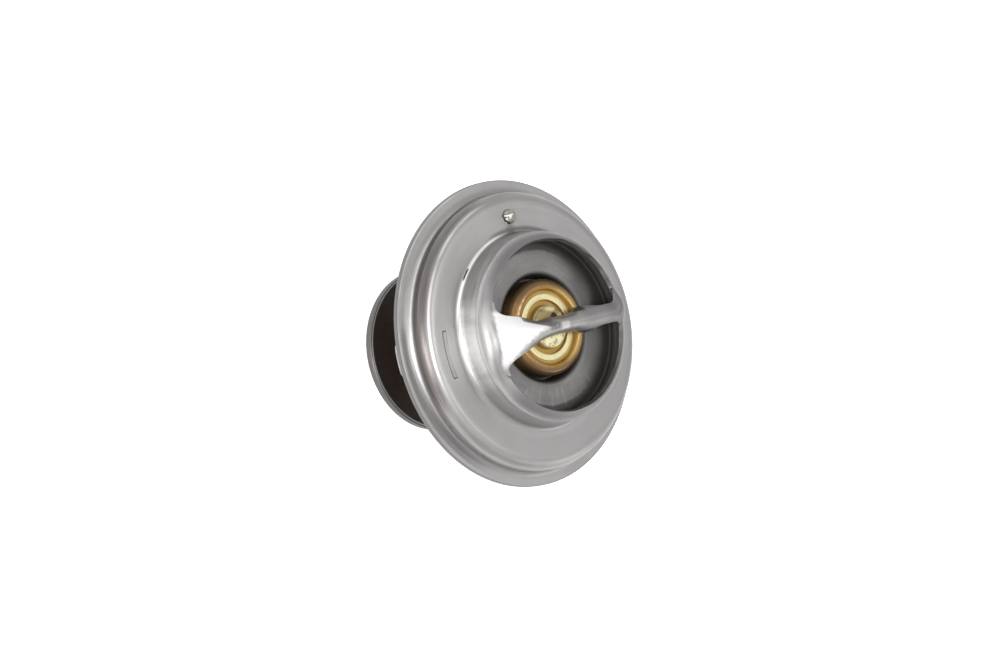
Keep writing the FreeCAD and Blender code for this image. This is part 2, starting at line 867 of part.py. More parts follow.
def main_spring():
    """return spring between the bracket's web and the valve plate"""
    return coil(
        "main_spring",
        "main_wire",
        "main_coil_radius",
        "main_coil_radius",
        "web_height",
        "plate_height - plate_sheet",
        "main_turns",
    )


def bypass_spring():
    """tapered spring between the cup and the bypass plate"""
    return coil(
        "bypass_spring",
        "bypass_wire",
        "bypass_low_radius",
        "bypass_top_radius",
        "bypass_height",
        "cup_bottom",
        "bypass_turns",
    )


def bypass_stem():
    """stud pressed into the cup's floor, with a collar and a groove for the ring"""
    body = new_body("bypass_stem")
    spigot_top = "(cup_bottom + spigot_length)"
    revolve(
        body,
        "Stem",
        [
            ("0", f"{GROOVE_LOW} - stem_end"),
            ("stem_radius", f"{GROOVE_LOW} - stem_end", "stem_radius / 8"),
            ("stem_radius", GROOVE_LOW),
            ("groove_radius", GROOVE_LOW),
            ("groove_radius", GROOVE_TOP),
            ("stem_radius", GROOVE_TOP),
            ("stem_radius", COLLAR_UNDERSIDE),
            ("stem_collar_radius", COLLAR_UNDERSIDE, "stem_collar_sheet / 4"),
            ("stem_collar_radius", "cup_bottom"),
            ("spigot_radius", "cup_bottom"),
            ("spigot_radius", spigot_top),
            ("0", spigot_top),
        ],
    )
    return body


def bypass_plate():
    """pressed bypass plate with a raised centre and a turned down skirt"""
    body = new_body("bypass_plate")
    hole = "(stem_radius + stem_gap)"
    underside = "(bypass_height - bypass_sheet)"
    boss_top = "(bypass_height + bypass_rise)"
    skirt_foot = "(bypass_height - bypass_skirt)"
    revolve(
        body,
        "BypassPlate",
        [
            (hole, BOSS_UNDERSIDE),
            ("bypass_boss_radius - bypass_sheet", BOSS_UNDERSIDE, "bypass_bend - bypass_sheet / 2"),
            ("bypass_boss_radius - bypass_sheet", underside, "bypass_bend"),
            ("bypass_radius - bypass_sheet", underside, "bypass_bend / 3"),
            ("bypass_radius - bypass_sheet", skirt_foot),
            ("bypass_radius", skirt_foot),
            ("bypass_radius", "bypass_height", "bypass_bend"),
            ("bypass_boss_radius", "bypass_height", "bypass_bend - bypass_sheet / 2"),
            ("bypass_boss_radius", boss_top, "bypass_bend"),
            (hole, boss_top),
        ],
    )
    return body


def retaining_ring():
    """open ring in the stem's groove"""
    outer = primitive(
        "Part::Cylinder", "clip_disc", GROOVE_LOW, Radius="clip_radius", Height="clip_sheet"
    )
    inner = primitive(
        "Part::Cylinder", "clip_bore", GROOVE_LOW, Radius="groove_radius", Height="clip_sheet"
    )
    mouth = primitive(
        "Part::Box", "clip_gap", GROOVE_LOW,
        Length="2 * clip_radius", Width="clip_mouth", Height="clip_sheet",
    )
    mouth.setExpression("Placement.Base.y", bound("-clip_mouth / 2"))
    disc = joined("Part::Cut", "clip_ring", [outer, inner])
    return joined("Part::Cut", "retaining_ring", [disc, mouth])


def head_plan(sketch):
    """hammered head of the jiggle pin, seen from above"""
    half = "jiggle_head_width / 2"
    side = "jiggle_head_depth / 2"
    bend = "jiggle_head_depth / 3"
    outline(
        sketch,
        [
            (f"-{half}", f"-{side}", bend),
            (half, f"-{side}", bend),
            (half, side, bend),
            (f"-{half}", side, bend),
        ],
    )


def jiggle_pin():
    """loose pin in the vent hole: ball below, hammered head above the face"""
    body = new_body("jiggle_pin")
    sketch = sketch_on(body, "XZ_Plane", "JiggleProfile")
    ball = float(sketch.evalExpression(bound(BALL_HEIGHT)))
    radius = size("jiggle_ball_radius")
    shank = size("jiggle_radius")
    top = size("face_height")
    meet = ball + math.sqrt(radius ** 2 - shank ** 2)
    foot = Vector(0, ball - radius, 0)
    points = [foot, Vector(shank, meet, 0), Vector(shank, top, 0), Vector(0, top, 0)]
    circle = Part.Circle(Vector(0, ball, 0), Vector(0, 0, 1), radius)
    rim = math.atan2(meet - ball, shank)
    arc = sketch.addGeometry(Part.ArcOfCircle(circle, -math.pi / 2, rim), False)
    lines = [
        sketch.addGeometry(Part.LineSegment(points[i], points[(i + 1) % 4]), False)
        for i in (1, 2, 3)
    ]
    sketch.addConstraint(Sketcher.Constraint("Coincident", arc, 2, lines[0], 1))
    sketch.addConstraint(Sketcher.Constraint("Coincident", lines[0], 2, lines[1], 1))
    sketch.addConstraint(Sketcher.Constraint("Coincident", lines[1], 2, lines[2], 1))
    sketch.addConstraint(Sketcher.Constraint("Coincident", lines[2], 2, arc, 1))
    sketch.addConstraint(Sketcher.Constraint("PointOnObject", arc, 3, -2))
    sketch.addConstraint(Sketcher.Constraint("Vertical", lines[2]))
    sketch.addConstraint(Sketcher.Constraint("Vertical", lines[0]))
    turn = sketch.addConstraint(Sketcher.Constraint("Radius", arc, radius))
    sketch.setExpression(f"Constraints[{turn}]", bound("jiggle_ball_radius"))
    index = sketch.addConstraint(Sketcher.Constraint("DistanceY", -1, 1, arc, 3, ball))
    sketch.setExpression(f"Constraints[{index}]", bound(BALL_HEIGHT))
    fix_point(sketch, lines[1], 1, "jiggle_radius", "face_height")
    fix_point(sketch, lines[2], 1, "0", "face_height")
    shank_turn = body.newObject("PartDesign::Revolution", "JiggleShank")
    shank_turn.Profile = sketch
    shank_turn.ReferenceAxis = (sketch, ["V_Axis"])
    shank_turn.Angle = 360
    sketch.Visibility = False
    DOC.recompute()
    plan = sketch_on(body, "XY_Plane", "JiggleHeadPlan")
    plan.setExpression("AttachmentOffset.Base.z", bound("face_height"))
    head_plan(plan)
    head = body.newObject("PartDesign::Pad", "JiggleHead")
    head.Profile = plan
    head.setExpression("Length", bound("jiggle_head_height"))
    plan.Visibility = False
    DOC.recompute()
    body.setExpression("Placement.Base.x", bound("vent_radius * cos(vent_angle * 1 deg)"))
    body.setExpression("Placement.Base.y", bound("vent_radius * sin(vent_angle * 1 deg)"))
    return body


def all_parts():
    """every sub-part of the thermostat"""
    return [
        flange_frame(),
        lower_bracket(),
        valve_plate(),
        wax_cup(),
        guide_cover(),
        rubber_sleeve(),
        wax_charge(),
        flat_ring("slip_washer", PIN_BORE, "sleeve_flange_radius", WASHER_HEIGHT, BORE_FOOT),
        piston_pin(),
        main_spring(),
        bypass_stem(),
        bypass_spring(),
        bypass_plate(),
        flat_ring(
            "stop_washer",
            "(stem_radius + stem_gap)",
            "stop_washer_radius",
            GROOVE_TOP,
            BOSS_UNDERSIDE,
        ),
        retaining_ring(),
        jiggle_pin(),
    ]


def check_document():
    """stop if any object of the document failed"""
    for item in DOC.Objects:
        if "Invalid" in item.State or "Error" in item.State:
            raise RuntimeError(f"{item.Name} failed: {item.State}")


def write_parts(parts):
    """check each sub-part's shape and write it to its own file"""
    for part in parts:
        if part.Shape.isNull() or not part.Shape.isValid():
            raise RuntimeError(f"{part.Label} has no valid shape")
        if not part.Shape.Solids:
            raise RuntimeError(f"{part.Label} holds no solid")
    os.makedirs("parts", exist_ok=True)
    for part in parts:
        part.Shape.exportStep(f"parts/{part.Label}.step")
        box = part.Shape.BoundBox
        print(
            f"{part.Label}: {len(part.Shape.Solids)} solid, {part.Shape.Volume:.1f} mm3,"
            f" z {box.ZMin:.2f} to {box.ZMax:.2f}"
        )


fill_sheet()
PARTS = all_parts()
DOC.recompute()
check_document()
write_parts(PARTS)
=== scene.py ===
# %% [markdown]
# # An engine thermostat in pressed steel and brass
# The thermostat sits in a car's cooling circuit. Wax in a brass cup melts, pushes on a steel
# pin, and the cup draws the valve plate away from the flange. The CAD model gives the moving
# frame of the piece. This lesson dresses it: smooth pressings, wound springs, metal with marks
# of use, and painted highlights and shade.

# %% Load the imported frame
import math
from functools import cached_property

import bmesh
import bpy
from mathutils import Matrix, Vector


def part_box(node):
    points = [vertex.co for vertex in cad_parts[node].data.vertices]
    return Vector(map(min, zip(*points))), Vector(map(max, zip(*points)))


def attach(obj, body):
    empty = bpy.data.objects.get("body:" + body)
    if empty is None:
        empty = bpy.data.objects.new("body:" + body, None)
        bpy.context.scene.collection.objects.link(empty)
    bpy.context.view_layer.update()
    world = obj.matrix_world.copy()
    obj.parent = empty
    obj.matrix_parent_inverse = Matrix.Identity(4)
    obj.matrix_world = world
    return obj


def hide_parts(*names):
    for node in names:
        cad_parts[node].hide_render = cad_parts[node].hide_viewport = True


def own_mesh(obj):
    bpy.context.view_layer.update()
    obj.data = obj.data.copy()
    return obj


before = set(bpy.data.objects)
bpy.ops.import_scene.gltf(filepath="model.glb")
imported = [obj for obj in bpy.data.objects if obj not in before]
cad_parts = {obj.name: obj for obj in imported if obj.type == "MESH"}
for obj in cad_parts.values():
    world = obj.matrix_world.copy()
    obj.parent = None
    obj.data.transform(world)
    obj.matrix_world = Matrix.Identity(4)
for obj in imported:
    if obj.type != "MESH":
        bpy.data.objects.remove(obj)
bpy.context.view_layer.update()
scene = bpy.context.scene
MM = 0.001
# in millimetres: the flange's sheet, the height of the neck's crease, the vent's distance
SHEET, CREASE, VENT_REACH = 0.9, 11.6, 24.9
LEAN_TURN = math.radians(6)
LEAN = math.tan(LEAN_TURN)
VENT_TURN = math.radians(90.9)
VENT = Vector((VENT_REACH * math.cos(VENT_TURN), VENT_REACH * math.sin(VENT_TURN), 0))


def add_object(name, data):
    """object for a mesh, a lamp or a camera, linked to the scene"""
    made = bpy.data.objects.new(name, data)
    scene.collection.objects.link(made)
    return made


print("nodes:", len(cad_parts))

# %% [markdown]
# ## The camera
# The photograph shows the flange from its strap side, lying over so that the axis points to
# the right and towards the lens. A long lens keeps the circles close to true ellipses. The
# three directions below are the camera's right, up and backward, in the part's own frame.

# %% Camera
RIGHT = Vector((0.7356, -0.1920, 0.6497))
UP = Vector((0.1439, 0.9814, 0.1271))
BACK = Vector((-0.6620, 0.0, 0.7495))
PLACE = Vector((-531.85, 0.56, 597.63))
STRAP_TURN = math.radians(1.2)
LENS = 132.8


def make_camera():
    """camera that looks against BACK, turned a little about the axis with the strap"""
    optics = bpy.data.cameras.new("camera")
    optics.lens = LENS
    optics.sensor_width = 36
    optics.sensor_fit = "HORIZONTAL"
    camera = add_object("camera", optics)
    spin = Matrix.Rotation(-STRAP_TURN, 3, "Z")
    axes = [spin @ RIGHT, spin @ UP, spin @ BACK]
    turn = Matrix([[axis[row] for axis in axes] for row in range(3)]).to_4x4()
    camera.matrix_world = Matrix.Translation(spin @ PLACE * MM) @ turn
    scene.camera = camera
    return camera


camera = make_camera()
print("camera at", [round(value, 3) for value in camera.matrix_world.translation])

# %% [markdown]
# ## The studio
# Metal shows what stands round it, so a studio for metal is made of large quiet surfaces. The
# world and the floor are white to the lens and to reflections, and five soft lamps give the
# form. The floor lies as low as the bypass plate ever gets, at the valve's full stroke.

# %% World, floor and lamps
scene.view_settings.view_transform = "Standard"
FLOOR_HEIGHT = -37.1 * MM


def white_where_seen(tree, plain, white):
    """mix two shaders: white for the lens and for reflections, plain for the rest"""
    path = tree.nodes.new("ShaderNodeLightPath")
    seen = path.outputs["Is Camera Ray"]
    for ray in ("Is Glossy Ray", "Is Transmission Ray"):
        either = tree.nodes.new("ShaderNodeMath")
        either.operation = "MAXIMUM"
        tree.links.new(seen, either.inputs[0])
        tree.links.new(path.outputs[ray], either.inputs[1])
        seen = either.outputs[0]
    mix = tree.nodes.new("ShaderNodeMixShader")
    for socket, source in zip(mix.inputs, (seen, plain.outputs[0], white.outputs[0])):
        tree.links.new(source, socket)
    return mix


def make_world():
    """even studio light, white where it is seen"""
    world = bpy.data.worlds.new("studio")
    world.use_nodes = True
    tree = world.node_tree
    plain = tree.nodes["Background"]
    plain.inputs["Color"].default_value = (1, 1, 1, 1)
    plain.inputs["Strength"].default_value = 0.45
    white = tree.nodes.new("ShaderNodeBackground")
    mix = white_where_seen(tree, plain, white)
    tree.links.new(mix.outputs[0], tree.nodes["World Output"].inputs["Surface"])
    scene.world = world


def make_floor():
    """wide pale floor below the part, which keeps its shadow"""
    mesh = bpy.data.meshes.new("floor")
    corners = [(-3, -3), (3, -3), (3, 3), (-3, 3)]
    mesh.from_pydata([(x, y, FLOOR_HEIGHT) for x, y in corners], [], [(0, 1, 2, 3)])
    floor = add_object("floor", mesh)
    paint = bpy.data.materials.new("floor_paint")
    paint.use_nodes = True
    tree = paint.node_tree
    plain = tree.nodes["Principled BSDF"]
    plain.inputs["Base Color"].default_value = (0.86, 0.86, 0.86, 1)
    plain.inputs["Roughness"].default_value = 0.9
    glow = tree.nodes.new("ShaderNodeEmission")
    glow.inputs["Strength"].default_value = 0.88
    half = tree.nodes.new("ShaderNodeAddShader")
    tree.links.new(plain.outputs[0], half.inputs[0])
    tree.links.new(glow.outputs[0], half.inputs[1])
    mix = white_where_seen(tree, plain, half)
    tree.links.new(mix.outputs[0], tree.nodes["Material Output"].inputs["Surface"])
    mesh.materials.append(paint)


def lamp(name, direction, distance, width, height, watts):
    """rectangular soft lamp that faces the part from a direction"""
    light = bpy.data.lights.new(name, "AREA")
    light.shape = "RECTANGLE"
    light.size = width
    light.size_y = height
    light.energy = watts
    holder = add_object(name, light)
    outward = Vector(direction).normalized()
    holder.location = outward * distance
    holder.rotation_euler = outward.to_track_quat("Z", "Y").to_euler()


make_world()
make_floor()
lamp("key", (-0.47, -0.05, 0.88), 0.6, 0.16, 0.2, 1.2)
lamp("front", (0.30, -0.02, 0.95), 0.6, 0.16, 0.2, 0.7)
lamp("side", (-0.95, -0.07, 0.2), 0.6, 0.25, 0.25, 3.0)
lamp("low", (0.66, -0.64, 0.38), 0.6, 0.3, 0.3, 0.4)
lamp("top", camera.matrix_world.to_3x3() @ Vector((-0.5, 0.8, 0.5)), 0.7, 0.5, 0.5, 0.8)
print("lamps stand")

# %% [markdown]
# ## Shader sums as plain expressions
# A finish is mostly arithmetic on a few masks. One small class holds a node's output, and its
# operators add the Math nodes, so a mask reads as a formula. One method makes other nodes.

# %% Shader helper
class Value:
    """number that varies over a surface, with sums written as Python"""

    def __init__(self, graph, socket):
        self.graph = graph
        self.socket = socket

    def calc(self, operation, other=0.0, flip=False):
        pair = (other, self) if flip else (self, other)
        return self.graph.node("ShaderNodeMath", {"operation": operation}, *pair)

    def __add__(self, other):
        return self.calc("ADD", other)

    def __mul__(self, other):
        return self.calc("MULTIPLY", other)

    def __sub__(self, other):
        return self.calc("SUBTRACT", other)

    def __rsub__(self, other):
        return self.calc("SUBTRACT", other, flip=True)

    def __truediv__(self, other):
        return self.calc("DIVIDE", other)

    def __pow__(self, other):
        return self.calc("POWER", other)

    def __abs__(self):
        return self.calc("ABSOLUTE")

    def top(self, other):
        """the larger of two numbers"""
        return self.calc("MAXIMUM", other)


class Graph:
    """a node tree, and the one method that adds nodes to it"""

    def __init__(self, tree):
        self.tree = tree

    def node(self, kind, settings, *inputs, **named):
        """new node: its settings first, then its sockets in order or by name"""
        made = self.tree.nodes.new(kind)
        for key, setting in settings.items():
            setattr(made, key, setting)
        pairs = list(enumerate(inputs))
        pairs += [(key.replace("_", " "), item) for key, item in named.items()]
        for key, item in pairs:
            if isinstance(item, Value):
                self.tree.links.new(item.socket, made.inputs[key])
            else:
                made.inputs[key].default_value = item
        return Value(self, made.outputs[0])

    def vector(self, x, y, z):
        return self.node("ShaderNodeCombineXYZ", {}, x, y, z)

    def ramp(self, value, low, high, start=0.0, end=1.0):
        """smooth step of a value between two limits"""
        return self.node(
            "ShaderNodeMapRange", {"interpolation_type": "SMOOTHSTEP"}, value, low, high, start, end
        )

    def band(self, value, low, high, soft):
        """one between two limits and nothing outside them, with soft ends"""
        return self.ramp(value, low - soft, low + soft) * self.ramp(
            value, high - soft, high + soft, 1.0, 0.0
        )


class Finish(Graph):
    """one material: its shader, the place on the piece and the colour painted so far"""

    def __init__(self, name, metallic=0.0):
        self.material = bpy.data.materials.new(name)
        self.material.use_nodes = True
        super().__init__(self.material.node_tree)
        self.shader = self.tree.nodes["Principled BSDF"]
        self.shader.inputs["Metallic"].default_value = metallic
        where = self.tree.nodes.new("ShaderNodeTexCoord")
        parts = self.tree.nodes.new("ShaderNodeSeparateXYZ")
        self.tree.links.new(where.outputs["Object"], parts.inputs[0])
        self.x, self.y, self.z = [Value(self, parts.outputs[axis]) * 1000.0 for axis in range(3)]
        self.spot = self.vector(self.x, self.y, self.z)
        self.base = None

    def reach(self, x=0.0, y=0.0):
        """distance in millimetres from an upright line, or from the part's axis"""
        across, along = self.x - x, self.y - y
        return (across * across + along * along) ** 0.5

    @cached_property
    def radius(self):
        return self.reach()

    @property
    def kit(self):
        """place and radius, and the three methods that most marks need"""
        return self.x, self.y, self.z, self.radius, self.ramp, self.band, self.paint

    def facing(self, degrees):
        """one on the side of the axis that lies in a direction, minus one on the other"""
        turn = math.radians(degrees)
        return (self.x * math.cos(turn) + self.y * math.sin(turn)) / self.radius

    def noise(self, vector, scale, detail=3.0, rough=0.55):
        return self.node(
            "ShaderNodeTexNoise", {}, Vector=vector, Scale=scale, Detail=detail, Roughness=rough
        )

    def rings(self, across, along):
        """noise drawn out round the axis: fine across the tool marks, slow along them"""
        round_x, round_y = self.x / self.radius * along, self.y / self.radius * along
        return self.noise(self.vector(round_x, round_y, (self.radius + self.z) * across), 1.0, 4.0)

    def colour(self, mask, first, second):
        """blend of two colours, or of a blend and a colour, by a mask"""
        mix = self.tree.nodes.new("ShaderNodeMix")
        mix.data_type = "RGBA"
        for index, item in ((0, mask), (6, first), (7, second)):
            if isinstance(item, Value):
                self.tree.links.new(item.socket, mix.inputs[index])
            else:
                mix.inputs[index].default_value = (*item, 1) if index else item
        return Value(self, mix.outputs[2])

    def paint(self, mask, tone):
        """another colour over the base, as far as a mask says"""
        self.base = self.colour(mask, self.base, tone)

    def complete(self, grain, smooth, rough, height, strength, depth):
        """feed the shader: base, roughness by the grain, bump with its depth in millimetres"""
        bump = self.node(
            "ShaderNodeBump", {}, Strength=strength, Distance=depth * MM, Height=height
        )
        roughness = self.ramp(grain, 0.3, 0.7, smooth, rough)
        for name, value in (("Base Color", self.base), ("Roughness", roughness), ("Normal", bump)):
            self.tree.links.new(value.socket, self.shader.inputs[name])
        return self


print("shader helper ready")

# %% [markdown]
# ## Steel, brass and the rest
# Pressed steel is a metal of mid grey. Rings that the die leaves run round the axis, so the
# noise is stretched that way: it is read on a direction round the axis and on the radius and
# height, which has no seam. Stains are broad and faint. The bypass plate's steel is painted
# brown black, as shade and a dark reflection. The brass is paler where the tool has cut it
# and amber where it is drawn. The marks of forming and use, and painted highlights and shade,
# are painted over the base one after another, each with its own mask; all their numbers are
# millimetres, shares of a blend or linear colours.

# %% Steel
def steel(name, light, dark, rough, scratch, marks=None):
    """stainless pressing with tool rings, faint stains and fine grain"""
    finish = Finish(name, 0.85)
    broad = finish.noise(finish.spot, 0.11, 3.0)
    fine = finish.noise(finish.spot, 1.9, 5.0, 0.7)
    rings = finish.rings(2.2, 2.4)
    tone = finish.ramp(broad * 0.45 + rings * 0.35 + fine * 0.2, 0.34, 0.64)
    finish.base = finish.colour(tone, dark, light)
    if marks:
        marks(finish)
    grain = fine * 0.5 + rings * 0.5
    height = rings * 0.7 + fine * 0.3
    return finish.complete(grain, rough - 0.05, rough + 0.08, height, scratch, 0.05)


# %% Marks on the neck and the dome
def neck_marks(finish):
    """tool strokes, and painted highlights and shade on the neck's -X side and along its foot"""
    x, y, z, radius, ramp, band, paint = finish.kit
    strokes = finish.vector(x / radius * 3.0, y / radius * 3.0, (z - radius) * 1.7)
    strokes = finish.noise(strokes, 1.0, 5.0, 0.75)
    drawn = ramp(radius, 22.2, 21.6) * ramp(radius, 18.9, 19.3)
    drawn = drawn * ramp(y, -4.0, 12.0, 0.25, 1.0) * ramp(x, 6.0, -6.0, 0.2, 1.0)
    paint(drawn * ramp(strokes, 0.5, 0.68) * 0.6, (0.17, 0.16, 0.155))
    paint(drawn * ramp(strokes, 0.46, 0.3) * 0.5, (0.58, 0.56, 0.55))
    lit = finish.facing(182)
    patchy = finish.noise(finish.vector(x, y, z * 0.3), 0.35, 4.0, 0.65)
    # painted highlight on the neck's side towards -X, brighter low down
    side = ramp(lit, 0.84, 0.98) * ramp(radius, 20.2, 20.5) * ramp(radius, 22.3, 21.7)
    side = side * ramp(z, 6.6, 7.4) * ramp(patchy, 0.35, 0.6, 0.45, 1.0)
    paint(side * ramp(z, 10.8, 12.2, 0.7, 0.3), (0.62, 0.61, 0.60))
    foot = ramp(lit, 0.86, 0.96)
    # painted shade low in the foot's fillet on the -X side
    toe_shade = foot * band(radius, 21.75, 22.6, 0.2) * ramp(z, 7.2, 7.0)
    paint(toe_shade * 0.3, (0.13, 0.127, 0.125))
    # painted highlight along the neck's foot on the -X side
    foot = foot * band(z, 7.15, 8.3, 0.25) * ramp(radius, 21.6, 21.4)
    paint(foot * ramp(patchy, 0.35, 0.6, 0.5, 1.0) * 0.75, (0.80, 0.79, 0.78))
    # painted highlight along the foot's edge towards +Y and -X
    edge = band(z, 6.62, 7.0, 0.1) * ramp(radius, 22.5, 22.3)
    edge = edge * ramp(y, 3.0, 9.0) * ramp(x, -1.0, -7.0)
    paint(edge * ramp(strokes, 0.3, 0.5, 0.6, 1.0), (0.88, 0.87, 0.86))
    # painted shade in the foot's fillet towards +Y
    ditch_shade = band(radius, 21.8, 22.6, 0.25) * ramp(z, 7.2, 6.9)
    ditch_shade = ditch_shade * ramp(y, 17.0, 20.0) * ramp(x, -9.0, -4.0)
    paint(ditch_shade * 0.7, (0.13, 0.125, 0.12))
    smudge = ramp(finish.reach(-0.6, 22.2) + strokes, 2.4, 0.8)
    paint(smudge * 0.7, (0.15, 0.125, 0.11))


def dome_marks(finish):
    """painted shade and highlights on the dome, the windows' dark cut edge, painted shade inside"""
    x, y, z, radius, ramp, band, paint = finish.kit
    # painted shade high on the neck's -X side, over its highlight
    calm_shade = ramp(finish.facing(182), 0.84, 0.94) * ramp(z, 12.0, 12.6) * ramp(radius, 19.6, 20.1)
    paint(calm_shade * 0.5, (0.17, 0.167, 0.165))
    # painted highlight on the dome towards 160 degrees
    glow = ramp(finish.facing(160), 0.94, 0.99) * band(radius, 19.2, 20.3, 0.4)
    paint(glow * ramp(z, 13.0, 13.6) * 0.6, (0.62, 0.61, 0.60))
    # painted shade on the dome away from 189 degrees
    away = ramp(finish.facing(189), 0.96, 0.80) * ramp(z, 12.2, 13.0) * ramp(radius, 18.4, 18.8)
    paint(away * 0.75, (0.17, 0.165, 0.165))
    root = ramp(x, -1.0, 1.0, 3.0, 0.0) - ramp(x, 10.0, 12.0) * ramp(y, 1.0, -1.0) * 2.0
    torn = ramp(x, 2.0, 8.0) * 0.22
    cut = ramp(abs(y) - root, 5.2, 5.9) * band(radius - torn, 18.0, 18.72, 0.05)
    paint(cut * 0.9, (0.06, 0.056, 0.055))
    over, under = (z - CREASE).top(0.0), (CREASE - z).top(0.0)
    sheet = ((radius - 17.42) ** 2.0 + over * over) ** 0.5 - under * LEAN
    # painted shade on the inside of the neck and dome
    inside = ramp(sheet, 2.9, 2.7) * ramp(radius, 17.5, 18.0)
    paint(inside, (0.17, 0.155, 0.148))
    # painted highlight along the crease inside the neck
    paint(inside * band(z, 10.6, 11.0, 0.15) * 0.5, (0.26, 0.245, 0.24))


def crease_marks(finish):
    """painted shade in a wavy line where the neck was drawn twice, the face darker towards -Y,
    and a dark reflection painted in a short streak at the neck's root
    """
    y, z, radius = finish.y, finish.z, finish.radius
    ramp, band, paint = finish.ramp, finish.band, finish.paint
    wave = finish.noise(finish.spot, 0.25, 2.0) * 0.5
    # painted shade in a thin wavy line along the crease
    line = band(z + wave, 11.78, 11.92, 0.07) * ramp(radius, 20.4, 20.6)
    paint(line * 0.7, (0.11, 0.10, 0.10))
    # the face darker towards -Y
    face = ramp(y, -6.0, -12.0) * band(radius, 23.4, 27.8, 0.6)
    paint(face * 0.3, (0.24, 0.235, 0.233))
    # dark reflection painted in a short streak at the neck's root
    streak = ramp(finish.facing(137.5), math.cos(math.radians(5)), math.cos(math.radians(2.5)))
    streak = streak * band(radius, 21.55, 21.85, 0.12) * ramp(z, 6.4, 6.6)
    paint(streak, (0.02, 0.02, 0.02))


# %% Marks on the wall and the strap
def wall_marks(finish):
    """brown streaks low on the wall, painted shade and painted highlights on its bends, the dark
    rim edge and painted shade in the vent hole
    """
    x, y, z, radius, ramp, band, paint = finish.kit
    streaks = finish.noise(finish.vector(x * 0.15, y * 0.15, z * 3.0), 1.0, 3.0, 0.6)
    wall = band(radius, 29.0, 31.0, 0.3)
    low = band(z, 2.6, 5.7, 0.5) * wall
    brown = low * ramp(streaks, 0.35, 0.6, 0.4, 0.95) * ramp(y, -16.0, -9.0, 0.35, 1.0)
    paint(brown, (0.16, 0.138, 0.13))
    high = ramp(y, 3.0, 10.0) * ramp(x, -4.0, -12.0)
    paint(low * high * 0.7, (0.12, 0.117, 0.115))
    # painted highlight along a faint crease high on the wall
    paint(band(z, 4.1, 4.3, 0.12) * wall * high * 0.6, (0.45, 0.44, 0.43))
    left = ramp(x, -14.0, -24.0)
    # painted shade on the rim by the wall on the -X side, over its highlight
    shelf_shade = band(radius, 31.0, 32.5, 0.35) * ramp(y, 9.0, 3.0)
    paint(shelf_shade * left * 0.75, (0.15, 0.147, 0.145))
    # painted shade in the corner at the wall's foot, towards -Y
    corner = band(radius, 30.5, 31.4, 0.2) * ramp(y, 2.0, -6.0)
    paint(corner * left * 0.7, (0.15, 0.147, 0.145))
    # painted shade low on the wall on the -X side, towards -Y, over its reflection
    lower = ramp(y, 2.0, -5.0, 0.6, 0.7) * ramp(y, -14.0, -7.0)
    paint(low * left * lower, (0.075, 0.066, 0.062))
    # painted highlights on the wall's two bends and on the rim's outer edge
    highlight_lines = band(z, 6.02, 6.28, 0.08) * band(radius, 28.6, 29.6, 0.2) * 0.7
    highlight_lines = highlight_lines.top(band(z, 1.75, 2.2, 0.1) * band(radius, 30.4, 31.0, 0.15) * 0.75)
    highlight_lines = highlight_lines.top(band(radius, 32.9, 33.15, 0.07) * ramp(z, 0.4, 0.6) * 0.4)
    highlight_lines = highlight_lines * ramp(streaks, 0.3, 0.6, 0.4, 1.0) * ramp(y, -10.0, 0.0, 0.15, 1.0)
    paint(highlight_lines * ramp(x, -4.0, -14.0), (0.80, 0.79, 0.78))
    # painted shade in the vent hole, and the rim's outer edge darker
    hole = ramp(finish.reach(VENT.x, VENT.y), 1.7, 1.6)
    paint(ramp(radius, 33.3, 33.45).top(hole) * 0.8, (0.09, 0.085, 0.085))


def strap_marks(finish):
    """painted highlight on the near root, coined patch in the middle, painted shade on the far
    half and on the folds along the edges
    """
    x, y, z, radius, ramp, band, paint = finish.kit
    high = ramp(z, 12.8, 13.8) * ramp(radius, 19.7, 18.8)
    inner = high * ramp(radius, 13.0, 12.0)
    along = x * -1.0
    low_edge = (((along - 3.0) / 11.3).top(0.0) ** 1.6) * -4.7 - 0.2
    top_edge = (along - 3.8) * 0.34 + 0.1 + ramp(along, 10.2, 11.4, 0.0, 9.0)
    rough = finish.noise(finish.spot, 0.8, 5.0, 0.7) - 0.5
    # painted highlight on the near root of the strap
    bright = ramp(y - low_edge + rough * 2.2, -0.8, 1.1)
    bright = bright * ramp(y, -8.0, -4.8) * ramp(y, 6.2, 4.8)
    bright = bright * ramp(top_edge - y, -0.2, 0.2) * high
    bright = bright * ramp(along, 2.6, 4.6) * ramp(along + rough * 2.0, 18.9, 17.4)
    paint(bright, (0.93, 0.92, 0.91))
    # painted shade along the strap's upper fold
    lens = ramp(y - top_edge, 0.0, 0.3) * band(x, -9.6, -2.0, 0.8) * inner
    paint(lens * 0.75, (0.15, 0.145, 0.145))
    patch = band(x, -0.2, 2.2, 0.35) * band(y, -1.3, 0.5, 0.25) * high
    paint(patch * 0.9, (0.55, 0.54, 0.53))
    dent = band(x, -3.6, -0.2, 0.5) * band(y, -0.9, 0.9, 0.3) * high
    dent = dent * ramp(finish.noise(finish.spot, 2.6, 4.0, 0.7), 0.42, 0.55)
    paint(dent * 0.8, (0.12, 0.115, 0.115))
    # painted shade on the far half of the strap
    far = ramp(x, 4.0, 9.0, 0.0, 0.5) + ramp(x, 12.5, 16.0, 0.0, 0.4)
    paint(far * high, (0.19, 0.185, 0.185))
    # painted shade on the folds at the strap's far edges
    ear = band(x, 5.2, 8.4, 0.4) * ramp(y, 1.75, 2.1)
    heel = band(x, 4.2, 10.2, 0.5) * ramp(y, -2.2, -2.5)
    paint(ear.top(heel) * inner * 0.8, (0.07, 0.068, 0.066))


def flange_marks(finish):
    """all marks on the flange: of forming and use, and painted highlights and shade"""
    for marks in (neck_marks, dome_marks, crease_marks, wall_marks, strap_marks):
        marks(finish)


